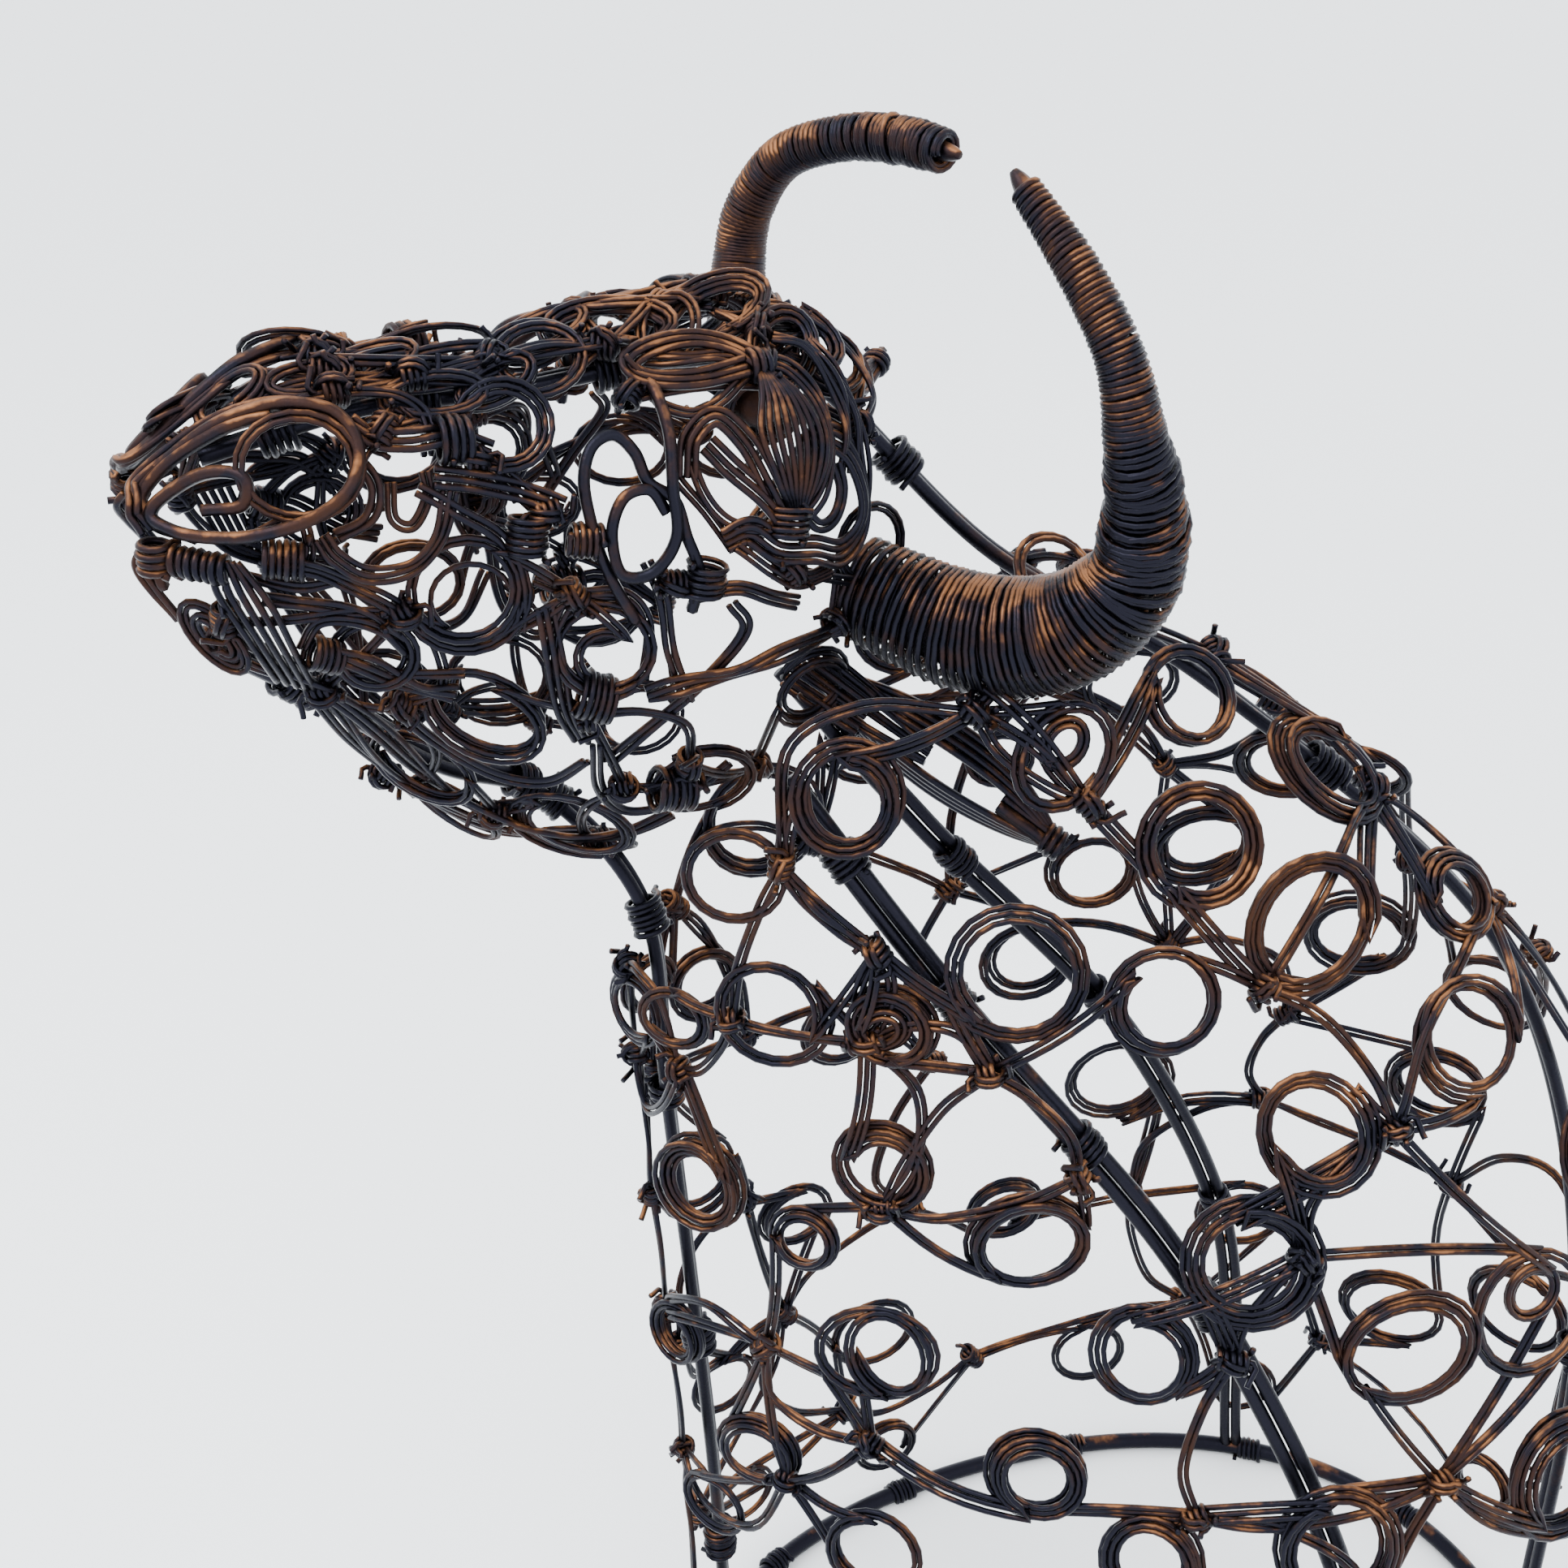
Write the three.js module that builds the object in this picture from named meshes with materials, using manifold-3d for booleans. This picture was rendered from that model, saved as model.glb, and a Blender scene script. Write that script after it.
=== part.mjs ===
// A bull's head and neck made of looped iron wire: a bust, cut flat below. Millimetres, +Z up.
// The bull looks towards -Y with its head turned to its left, the +X side.

import * as THREE from 'three';
import { mergeVertices } from 'three/addons/utils/BufferGeometryUtils.js';
import Module from 'manifold-3d';

const wasm = await Module();
wasm.setup();

// Driving sizes
const bundle = 1.5;        // radius of a bundle of strands in the looped wire
const thick = 1.9;         // radius of a bent feature wire
const rodRadius = 2.6;     // radius over a doubled armature rod
const rodInset = 7;        // how far the rods run inside the looped wire
const gap = 0.35;          // air between pieces that are bound to each other
const hoopHeight = 5;      // the base hoop, from its flat underside to its top
const hoopHalfWidth = 3;
const tieWire = 1.2;       // radius of the binding wound round a rod

// The neck, at even stations from the flat cut (0) to the head (1)
const neckForm = {
  throatY: [-63, -66, -70, -74, -77],
  throatZ: [0, 71, 130, 189, 248],
  crestY: [178, 173, 137, 62, -12],
  crestZ: [0, 132, 236, 305, 350],
  halfWidth: [86, 75, 60, 48, 38],
};

// The head, at even stations from its back (0) to the muzzle (1), about its own axes
const headLength = 150;
const headBack = -6;
const headForm = {
  top: [8, 22, 26, 22, 16, 10, 6, 1, -20],
  under: [-80, -99, -106, -103, -95, -84, -72, -63, -44],
  halfWidth: [26, 36, 40, 37, 31, 27, 25, 22, 8],
};
const headPlace = new THREE.Vector3(-8, -28, 353);
const headTurn = 30;       // degrees the head is turned to its left
const headRaise = 12;      // degrees the muzzle is raised
const headTilt = 20;       // degrees the head leans to its left

// Looped rings of the neck: station, way round from crest (0) to throat (1), radius
const neckRingsNear = [
  [0.955, 0.61, 11], [0.825, 0.64, 11.5], [0.685, 0.81, 11], [0.745, 0.44, 14],
  [0.67, 0.37, 11], [0.835, 0.28, 10], [0.79, 0.14, 10], [0.73, 0.26, 12], [0.65, 0.245, 14],
  [0.535, 0.2, 12.5], [0.545, 0.345, 12], [0.485, 0.42, 13.4], [0.555, 0.54, 11.5],
  [0.655, 0.61, 9.7], [0.49, 0.67, 13.5], [0.445, 0.5, 11], [0.375, 0.8, 10],
  [0.39, 0.345, 13.5], [0.37, 0.24, 15], [0.365, 0.58, 10], [0.28, 0.42, 14],
  [0.28, 0.7, 11], [0.26, 0.24, 15], [0.41, 0.13, 12], [0.27, 0.12, 12], [0.18, 0.6, 14],
  [0.15, 0.8, 12], [0.15, 0.46, 14], [0.14, 0.3, 15], [0.14, 0.13, 14],
];
const neckRingsFar = [
  [0.87, 0.635, 14], [0.9, 0.38, 11], [0.84, 0.49, 12], [0.74, 0.25, 10], [0.63, 0.15, 11],
  [0.6, 0.42, 11], [0.53, 0.52, 12], [0.62, 0.66, 10], [0.58, 0.85, 11], [0.57, 0.32, 11],
  [0.465, 0.24, 13], [0.41, 0.13, 12], [0.38, 0.47, 15], [0.43, 0.75, 10], [0.33, 0.22, 13],
  [0.27, 0.58, 12], [0.22, 0.38, 13], [0.2, 0.7, 13], [0.14, 0.24, 15], [0.17, 0.12, 14],
  [0.1, 0.5, 12], [0.1, 0.86, 10],
];

// Looped rings of the head: station, way round from the top (0) to the underside (1), radius
const faceRings = [
  [0.81, 0.22, 9], [0.6, 0.22, 9], [0.63, 0.41, 10.5], [0.45, 0.44, 10],
  [0.55, 0.6, 11], [0.38, 0.72, 12], [0.31, 0.26, 10], [0.44, 0.28, 8], [0.25, 0.45, 10],
  [0.22, 0.65, 11], [0.88, 0.58, 8],
];
const topRings = [[0.88, 6], [0.74, 7], [0.6, 7], [0.46, 8], [0.3, 9], [0.15, 8]];

// Horn and ear middle lines about the head's axes: outward, forward, up
const hornNear = {
  line: [
    [28, 4, -16], [50, -10, -11], [64, -20, 0], [69, -25, 16], [68, -20, 32],
    [65, -12, 45], [58, -6, 57], [45, 0, 66], [29, 6, 73],
  ],
  radii: [11, 12.5, 12, 10, 8.6, 7.6, 5.8, 4.6, 2],
};
const hornFar = {
  line: [
    [28, 2, -10], [49, -2, -7], [61, -3, -1], [68, -3, 8], [70, -2, 20],
    [65, -3, 35], [51, -7, 47], [37, -11, 54], [24, -14, 58],
  ],
  radii: [9.5, 9, 7.5, 6.4, 5.8, 5.2, 5, 5, 4.6],
};
const earNear = [[33, 1, -40], [51, -13, -42], [66, -26, -44], [79, -36, -46]];
const earFar = [[28, -8, -34], [41, -24, -28], [56, -40, -20], [70, -54, -13]];
const earHalfWidth = 7;

// Even values joined by a smooth curve that passes through each of them
function spline(values, place) {
  const last = values.length - 1;
  const x = Math.min(Math.max(place, 0), 1) * last;
  const i = Math.min(Math.floor(x), last - 1);
  const f = x - i;
  const b = values[i];
  const c = values[i + 1];
  const a = i > 0 ? values[i - 1] : 2 * b - c;
  const d = i < last - 1 ? values[i + 2] : 2 * c - b;
  return b + 0.5 * f * (c - a + f * (2 * a - 5 * b + 4 * c - d + f * (3 * (b - c) + d - a)));
}

// A point of the neck: an egg-shaped section from crest to throat, drawn in by inset
function neckPoint(station, around, side, inset = 0) {
  const angle = around * Math.PI;
  const crest = new THREE.Vector3(0, spline(neckForm.crestY, station), spline(neckForm.crestZ, station));
  const throat = new THREE.Vector3(0, spline(neckForm.throatY, station), spline(neckForm.throatZ, station));
  const middle = crest.clone().add(throat).multiplyScalar(0.5);
  const half = crest.clone().sub(throat).multiplyScalar(0.5);
  half.setLength(half.length() - inset);
  const width = spline(neckForm.halfWidth, station) - inset;
  const x = side * width * Math.sin(angle) * (1 + 0.22 * Math.cos(angle));
  return middle.addScaledVector(half, Math.cos(angle)).setX(x);
}

// The head's own axes: left is outward on the +X side, front points to the muzzle, up to the poll
const turn = THREE.MathUtils.degToRad(headTurn);
const raise = THREE.MathUtils.degToRad(headRaise);
const tilt = THREE.MathUtils.degToRad(headTilt);
const front = new THREE.Vector3(
  Math.sin(turn) * Math.cos(raise),
  -Math.cos(turn) * Math.cos(raise),
  Math.sin(raise),
);
const level = new THREE.Vector3(Math.cos(turn), Math.sin(turn), 0);
const upright = new THREE.Vector3().crossVectors(front, level);
const left = level.clone().multiplyScalar(Math.cos(tilt)).addScaledVector(upright, -Math.sin(tilt));
const up = upright.clone().multiplyScalar(Math.cos(tilt)).addScaledVector(level, Math.sin(tilt));

function inHead(outward, forward, upward) {
  return headPlace.clone().addScaledVector(left, outward).addScaledVector(front, forward)
    .addScaledVector(up, upward);
}

// A middle line given about the head's axes, on one side of the head
function onHead(line, side) {
  return line.map(([outward, forward, upward]) => inHead(side * outward, forward, upward));
}

// A point of the head: an egg-shaped section from its top line to its under line
function headPoint(station, around, side, inset = 0) {
  const angle = around * Math.PI;
  const top = spline(headForm.top, station) - inset;
  const under = spline(headForm.under, station) + inset;
  const width = spline(headForm.halfWidth, station) - inset;
  const outward = side * width * Math.sin(angle) * (1 + 0.18 * Math.cos(angle));
  const upward = (top + under) / 2 + (top - under) / 2 * Math.cos(angle);
  return inHead(outward, headBack + headLength * station, upward);
}

// The outward direction of a form at a place on it
function outwardAt(form, station, around, side) {
  const step = 0.01;
  const along = form(station + step, around, side).sub(form(station - step, around, side));
  const across = form(station, around + step, side).sub(form(station, around - step, side));
  const normal = along.cross(across).normalize();
  const middle = form(station, 0, side).add(form(station, 1, side)).multiplyScalar(0.5);
  const away = form(station, around, side).sub(middle);
  return normal.dot(away) < 0 ? normal.negate() : normal;
}

// Any closed surface as a solid with its faces pointing out
function solid(source) {
  const bare = source.clone();
  bare.deleteAttribute('normal');
  bare.deleteAttribute('uv');
  const merged = mergeVertices(bare, 1e-4);
  const points = merged.attributes.position;
  const order = Array.from(merged.index.array);
  const a = new THREE.Vector3();
  const b = new THREE.Vector3();
  const c = new THREE.Vector3();
  let volume = 0;
  const kept = [];
  for (let i = 0; i < order.length; i += 3) {
    const [p, q, r] = order.slice(i, i + 3);
    if (p === q || q === r || p === r) continue;
    kept.push(p, q, r);
    a.fromBufferAttribute(points, p);
    b.fromBufferAttribute(points, q);
    c.fromBufferAttribute(points, r);
    volume += a.dot(b.cross(c));
  }
  if (volume < 0) kept.reverse();
  return new wasm.Manifold(new wasm.Mesh({
    numProp: 3,
    vertProperties: new Float32Array(points.array),
    triVerts: new Uint32Array(kept),
  }));
}

function fuse(solids) {
  return solids.reduce((whole, next) => whole.add(next));
}

function placed(geometry, centre, direction) {
  const turnTo = new THREE.Quaternion().setFromUnitVectors(new THREE.Vector3(0, 0, 1), direction);
  return solid(geometry.applyQuaternion(turnTo).translate(centre.x, centre.y, centre.z));
}

// A closed ring of wire: its middle, the direction it faces, its radius and its wire
function ringSolid(ring) {
  const sides = 3;
  const steps = ring.radius > 12.5 ? 7 : 6;
  return placed(new THREE.TorusGeometry(ring.radius, ring.wire, sides, steps), ring.centre, ring.facing);
}

// A straight run of wire between two points, with its ends inside what it joins
function runSolid(from, to, radius) {
  const way = to.clone().sub(from);
  const length = way.length() + radius;
  const bar = new THREE.CylinderGeometry(radius, radius, length, 3).rotateX(Math.PI / 2);
  return placed(bar, from.clone().add(to).multiplyScalar(0.5), way.normalize());
}

function circle(radius, sides) {
  const points = [];
  for (let i = 0; i < sides; i += 1) {
    const angle = 2 * Math.PI * (i + 0.5) / sides;
    points.push(new THREE.Vector2(radius * Math.cos(angle), radius * Math.sin(angle)));
  }
  return new THREE.Shape(points);
}

// A bent rod of even thickness through the given points
function rodGeometry(points, radius, steps, sides = 6) {
  const path = new THREE.CatmullRomCurve3(points, false, 'catmullrom');
  return new THREE.ExtrudeGeometry(circle(radius, sides), { extrudePath: path, steps });
}

// A tapered form turned on a lathe and then bent along its middle line
function bentTaper(points, radii, sides, steps) {
  const path = new THREE.CatmullRomCurve3(points, false, 'catmullrom');
  const profile = [new THREE.Vector2(0, 0)];
  for (let i = 0; i <= steps; i += 1) {
    profile.push(new THREE.Vector2(spline(radii, i / steps), i));
  }
  profile.push(new THREE.Vector2(0, steps));
  const form = new THREE.LatheGeometry(profile, sides);
  const frames = path.computeFrenetFrames(steps);
  const spots = form.attributes.position;
  for (let i = 0; i < spots.count; i += 1) {
    const station = Math.round(spots.getY(i));
    const centre = path.getPointAt(station / steps);
    centre.addScaledVector(frames.normals[station], spots.getX(i));
    centre.addScaledVector(frames.binormals[station], spots.getZ(i));
    spots.setXYZ(i, centre.x, centre.y, centre.z);
  }
  return form;
}

// The rim point of a ring that is nearest to another place
function rimTowards(ring, place) {
  const way = place.clone().sub(ring.centre);
  way.addScaledVector(ring.facing, -way.dot(ring.facing)).setLength(ring.radius);
  return ring.centre.clone().add(way);
}

// Rings joined by runs of wire: each ring is joined to the nearest one already in the lattice
function lattice(rings, more = []) {
  const solids = rings.map(ringSolid);
  const joined = [rings[0]];
  const waiting = rings.slice(1);
  while (waiting.length > 0) {
    let best = { reach: Infinity };
    for (const ring of waiting) {
      for (const other of joined) {
        const from = rimTowards(other, ring.centre);
        const to = rimTowards(ring, other.centre);
        const reach = from.distanceTo(to);
        if (reach < best.reach) best = { reach, ring, from, to };
      }
    }
    solids.push(runSolid(best.from, best.to, bundle));
    joined.push(best.ring);
    waiting.splice(waiting.indexOf(best.ring), 1);
  }
  return fuse([...solids, ...more]);
}

function ringsOn(form, table, side, wire = bundle) {
  return table.map(([station, around, radius]) => ({
    centre: form(station, around, side),
    facing: outwardAt(form, station, around, side),
    radius,
    wire,
  }));
}

// A binding wound round a rod at a place along it
function tieOn(points, place) {
  const path = new THREE.CatmullRomCurve3(points, false, 'catmullrom');
  return {
    centre: path.getPointAt(place),
    facing: path.getTangentAt(place),
    radius: (rodRadius + gap + tieWire) / Math.cos(Math.PI / 8),
    wire: tieWire,
  };
}

// Armature rods, standing on the hoop
const rodFoot = hoopHeight + gap;

function neckRodPoints(path, side) {
  return path.map(([station, around]) => {
    const point = neckPoint(station, around, side, rodInset);
    point.z = Math.max(point.z, rodFoot);
    return point;
  });
}

const sideRodPath = [[0, 0.36], [0.2, 0.39], [0.4, 0.44], [0.6, 0.48], [0.8, 0.5], [0.97, 0.5]];
const sideRodNear = neckRodPoints(sideRodPath, 1);
const sideRodFar = neckRodPoints(sideRodPath, -1);
const throatRod = [
  ...neckRodPoints([[0, 1], [0.25, 1], [0.5, 1], [0.75, 1], [0.96, 1]], 1),
  ...[0.3, 0.5, 0.7, 0.88].map((station) => headPoint(station, 1, 1, rodInset)),
];
const spineRod = [
  ...neckRodPoints([[0, 0], [0.25, 0], [0.5, 0], [0.75, 0], [0.93, 0]], 1),
  ...[0.14, 0.34, 0.55, 0.75, 0.93].map((station) => headPoint(station, 0, 1, rodInset)),
];

// The base hoop: a ring with a flat underside, carried round the neck's outline at the cut
function hoopGeometry() {
  const lathe = 100;
  const bevel = 1.2;
  const section = [
    [-hoopHalfWidth, 0], [hoopHalfWidth, 0], [hoopHalfWidth, hoopHeight - bevel],
    [hoopHalfWidth - bevel, hoopHeight], [bevel - hoopHalfWidth, hoopHeight],
    [-hoopHalfWidth, hoopHeight - bevel], [-hoopHalfWidth, 0],
  ];
  const profile = section.map(([across, height]) => new THREE.Vector2(lathe + across, height));
  const form = new THREE.LatheGeometry(profile, 22);
  const points = form.attributes.position;
  for (let i = 0; i < points.count; i += 1) {
    const angle = Math.atan2(points.getX(i), points.getZ(i));
    const side = angle < 0 ? -1 : 1;
    const around = Math.abs(angle) / Math.PI;
    const across = Math.hypot(points.getX(i), points.getZ(i)) - lathe;
    const spot = neckPoint(0, around, side, rodInset - across);
    points.setXYZ(i, spot.x, spot.y, points.getY(i));
  }
  return form;
}

function neckLoops(table, side, rod) {
  const rings = ringsOn(neckPoint, table, side);
  const ties = [0.35, 0.8].map((place) => tieOn(rod, place));
  return lattice([...rings, ...ties]);
}

// A binding round the foot of a horn or an ear
function collarOn(points, place, across) {
  const path = new THREE.CatmullRomCurve3(points, false, 'catmullrom');
  return {
    centre: path.getPointAt(place),
    facing: path.getTangentAt(place),
    radius: (across + gap + bundle) / Math.cos(Math.PI / 8),
    wire: bundle,
  };
}

// The nostril is a spiral of thick wire that faces out and forward
function nostril(side) {
  return {
    centre: headPoint(0.94, 0.24, side).addScaledVector(left, side * 3),
    facing: left.clone().multiplyScalar(side).addScaledVector(front, 0.5).normalize(),
    radius: 6.5,
    wire: thick,
  };
}

function faceLoops(side, hornShape, earLine, rod) {
  const rings = ringsOn(headPoint, faceRings, side);
  const hornCollar = collarOn(onHead(hornShape.line, side), 0.05, hornShape.radii[1]);
  const earCollar = collarOn(onHead(earLine, side), 0.12, earHalfWidth);
  return lattice([...rings, nostril(side), hornCollar, earCollar, tieOn(rod, 0.97)]);
}

function topLoops() {
  const table = topRings.map(([station, radius]) => [station, 0, radius]);
  return lattice([...ringsOn(headPoint, table, 1), tieOn(spineRod, 0.9)]);
}

// A leaf of bent wire with a bound tip
function ear(line, side) {
  const middle = onHead(line, side);
  const leaf = up.clone();
  const halves = [-1, 1].map((hand) => {
    const edge = middle.map((point, i) => {
      const spread = earHalfWidth * Math.sin(Math.PI * (0.2 + 0.8 * i / (middle.length - 1)));
      return point.clone().addScaledVector(leaf, hand * spread);
    });
    return solid(rodGeometry(edge, thick, 6, 4));
  });
  const tip = runSolid(middle[2].clone().lerp(middle[3], 0.6), middle[3], 2 * thick);
  const base = runSolid(
    middle[0].clone().addScaledVector(leaf, -5),
    middle[0].clone().addScaledVector(leaf, 5),
    1.5 * thick,
  );
  return fuse([...halves, tip, base]);
}

function horn(shape, side) {
  return solid(bentTaper(onHead(shape.line, side), shape.radii, 8, 14));
}

const finish = {
  rod: { color: 0x23232b, roughness: 0.45, metalness: 0.85 },
  wire: { color: 0x3a2a22, roughness: 0.5, metalness: 0.8 },
  horn: { color: 0x4a3222, roughness: 0.5, metalness: 0.8 },
};

const bust = new THREE.Group();

function addPiece(name, body, look) {
  const { vertProperties, triVerts } = body.getMesh();
  const geometry = new THREE.BufferGeometry();
  geometry.setAttribute('position', new THREE.BufferAttribute(new Float32Array(vertProperties), 3));
  geometry.setIndex(new THREE.BufferAttribute(new Uint32Array(triVerts), 1));
  geometry.computeVertexNormals();
  const mesh = new THREE.Mesh(geometry, new THREE.MeshStandardMaterial(look));
  mesh.name = name;
  bust.add(mesh);
}

addPiece('base_hoop', solid(hoopGeometry()), finish.rod);
addPiece('throat_rod', solid(rodGeometry(throatRod, rodRadius, 20)), finish.rod);
addPiece('spine_rod', solid(rodGeometry(spineRod, rodRadius, 26)), finish.rod);
addPiece('side_rod_near', solid(rodGeometry(sideRodNear, rodRadius, 12)), finish.rod);
addPiece('side_rod_far', solid(rodGeometry(sideRodFar, rodRadius, 12)), finish.rod);
addPiece('neck_loops_near', neckLoops(neckRingsNear, 1, sideRodNear), finish.wire);
addPiece('neck_loops_far', neckLoops(neckRingsFar, -1, sideRodFar), finish.wire);
addPiece('face_loops_near', faceLoops(1, hornNear, earNear, sideRodNear), finish.wire);
addPiece('face_loops_far', faceLoops(-1, hornFar, earFar, sideRodFar), finish.wire);
addPiece('brow_and_nose_loops', topLoops(), finish.wire);
addPiece('horn_near', horn(hornNear, 1), finish.horn);
addPiece('horn_far', horn(hornFar, -1), finish.horn);
addPiece('ear_near', ear(earNear, 1), finish.wire);
addPiece('ear_far', ear(earFar, -1), finish.wire);

// The origin is the middle of the bust's box, on the plane it stands on
const box = new THREE.Box3().setFromObject(bust, true);
bust.position.set(-(box.min.x + box.max.x) / 2, -(box.min.y + box.max.y) / 2, -box.min.z);

export default bust;
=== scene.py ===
"""Dresses the bull's bust in looped iron wire.

Shapes are worked out in millimetres about the neck's own form, as in the part's source, and are
put into the frame in metres. The bull looks towards -Y, with its head turned to its left, +X.
"""

import math

import bmesh
import bpy
import numpy as np
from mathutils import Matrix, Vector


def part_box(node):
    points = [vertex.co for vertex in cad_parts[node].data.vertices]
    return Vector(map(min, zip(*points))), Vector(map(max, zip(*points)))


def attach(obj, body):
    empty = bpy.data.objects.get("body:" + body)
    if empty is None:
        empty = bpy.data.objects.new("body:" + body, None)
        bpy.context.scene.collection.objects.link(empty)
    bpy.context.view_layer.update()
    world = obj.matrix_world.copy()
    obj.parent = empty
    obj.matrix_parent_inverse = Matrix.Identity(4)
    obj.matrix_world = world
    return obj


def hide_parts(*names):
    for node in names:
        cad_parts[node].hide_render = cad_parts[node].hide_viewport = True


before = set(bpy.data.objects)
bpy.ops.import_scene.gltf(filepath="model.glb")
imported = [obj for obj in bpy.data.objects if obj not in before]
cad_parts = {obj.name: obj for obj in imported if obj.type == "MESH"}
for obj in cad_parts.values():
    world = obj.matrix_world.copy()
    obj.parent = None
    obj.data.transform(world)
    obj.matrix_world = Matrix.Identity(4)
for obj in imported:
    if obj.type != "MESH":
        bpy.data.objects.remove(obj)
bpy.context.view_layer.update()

bl_info = {
    "name": "Looped Wire Bull",
    "version": (1, 0, 0),
    "blender": (4, 5, 0),
    "location": "3D View > Sidebar > Wire Bull",
    "description": "A bull's bust in looped, bound and wound iron wire",
    "category": "Mesh",
}

MM = 0.001
TURN = 2 * math.pi

# The neck, at even stations from the flat cut (0) to the head (1)
THROAT_Y = (-63, -66, -70, -74, -77)
THROAT_Z = (0, 71, 130, 189, 248)
CREST_Y = (178, 173, 137, 62, -12)
CREST_Z = (0, 132, 236, 305, 350)
NECK_HALF_WIDTH = (86, 75, 60, 48, 38)

# The head, at even stations from its back (0) to the muzzle (1), about its own axes
HEAD_LENGTH = 150
HEAD_BACK = -6
HEAD_TOP = (8, 22, 26, 22, 16, 10, 6, 1, -20)
HEAD_UNDER = (-80, -99, -106, -103, -95, -84, -72, -63, -44)
HEAD_HALF_WIDTH = (26, 36, 40, 37, 31, 27, 25, 22, 8)
HEAD_PLACE = np.array((-8.0, -28.0, 353.0))
HEAD_TURN = math.radians(30)
HEAD_RAISE = math.radians(12)
HEAD_TILT = math.radians(20)

ROD_INSET = 7
HOOP_HEIGHT = 5
ROD_SPACING = 1.75

# Where the neck's form sits in the frame: the hoop's middle is the middle of the flat cut
HOOP_LOW, HOOP_HIGH = (np.array(corner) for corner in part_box("base_hoop"))
CUT_MIDDLE = np.array((0, (THROAT_Y[0] + CREST_Y[0]) / 2, HOOP_HEIGHT / 2))
SHIFT = (HOOP_LOW + HOOP_HIGH) / 2 - CUT_MIDDLE * MM


# ---------------------------------------------------------------- forms

def spline(values, place):
    """Even values joined by a uniform Catmull-Rom cubic; its ends are carried on straight."""
    values = np.asarray(values, float)
    padded = np.concatenate([[2 * values[0] - values[1]], values, [2 * values[-1] - values[-2]]])
    x = np.clip(place, 0, 1) * (len(values) - 1)
    i = np.minimum(x.astype(int), len(values) - 2)
    f = x - i
    a, b, c, d = (padded[i + step] for step in range(4))
    return b + 0.5 * f * (c - a + f * (2 * a - 5 * b + 4 * c - d + f * (3 * (b - c) + d - a)))


def unit(vectors):
    """Each vector divided by its length."""
    return vectors / np.maximum(np.linalg.norm(vectors, axis=-1, keepdims=True), 1e-9)


def neck(station, around, side, inset=0.0):
    """The egg-shaped section at a station: cosine between crest and throat, widened sine across."""
    station, around = np.broadcast_arrays(np.asarray(station, float), np.asarray(around, float))
    angle = around * math.pi
    crest = np.stack([spline(CREST_Y, station), spline(CREST_Z, station)], -1)
    throat = np.stack([spline(THROAT_Y, station), spline(THROAT_Z, station)], -1)
    half = (crest - throat) / 2
    reach = np.linalg.norm(half, axis=-1, keepdims=True)
    half = half * (reach - inset) / reach
    width = spline(NECK_HALF_WIDTH, station) - inset
    across = side * width * np.sin(angle) * (1 + 0.22 * np.cos(angle))
    rise = (crest + throat) / 2 + half * np.cos(angle)[..., None]
    return np.concatenate([across[..., None], rise], -1)


FRONT = np.array((
    math.sin(HEAD_TURN) * math.cos(HEAD_RAISE),
    -math.cos(HEAD_TURN) * math.cos(HEAD_RAISE),
    math.sin(HEAD_RAISE),
))
LEVEL = np.array((math.cos(HEAD_TURN), math.sin(HEAD_TURN), 0.0))
UPRIGHT = np.cross(FRONT, LEVEL)
LEFT = LEVEL * math.cos(HEAD_TILT) - UPRIGHT * math.sin(HEAD_TILT)
UP = UPRIGHT * math.cos(HEAD_TILT) + LEVEL * math.sin(HEAD_TILT)


def in_head(outward, forward, upward):
    """A point given along the head's own three axes."""
    parts = np.stack(np.broadcast_arrays(outward, forward, upward), -1).astype(float)
    return HEAD_PLACE + parts @ np.array((LEFT, FRONT, UP))


def head(station, around, side, inset=0.0):
    """The head's section: cosine between top and under line, widened sine across."""
    station, around = np.broadcast_arrays(np.asarray(station, float), np.asarray(around, float))
    angle = around * math.pi
    top = spline(HEAD_TOP, station) - inset
    under = spline(HEAD_UNDER, station) + inset
    width = spline(HEAD_HALF_WIDTH, station) - inset
    outward = side * width * np.sin(angle) * (1 + 0.18 * np.cos(angle))
    upward = (top + under) / 2 + (top - under) / 2 * np.cos(angle)
    return in_head(outward, HEAD_BACK + HEAD_LENGTH * station, upward)


def axes_at(form, station, around, side):
    """Unit vectors along the stations, across them and outward, from small differences."""
    step = 0.004
    along = form(station + step, around, side) - form(station - step, around, side)
    across = form(station, around + step, side) - form(station, around - step, side)
    outward = unit(np.cross(along, across))
    middle = (form(station, 0.0, side) + form(station, 1.0, side)) / 2
    away = np.sum(outward * (form(station, around, side) - middle), axis=-1, keepdims=True)
    outward = np.where(away < 0, -outward, outward)
    along = unit(along)
    return along, unit(np.cross(outward, along)), outward


def smooth(points, count):
    """A Catmull-Rom curve through a list of points, sampled evenly by number."""
    points = np.asarray(points, float)
    place = np.linspace(0, 1, count)
    return np.stack([spline(points[:, axis], place) for axis in range(points.shape[1])], -1)


def on_form(form, line, side, count, inset=0.0):
    """A smooth curve drawn on a form: rows of station, way round and lift off the surface."""
    line = np.array([tuple(row) + (0,) * (3 - len(row)) for row in line], float)
    track = smooth(line, count)
    points = form(track[:, 0], track[:, 1], side, inset)
    _, _, outward = axes_at(form, track[:, 0], track[:, 1], side)
    return points + outward * track[:, 2:3], outward


# ---------------------------------------------------------------- wire

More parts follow.
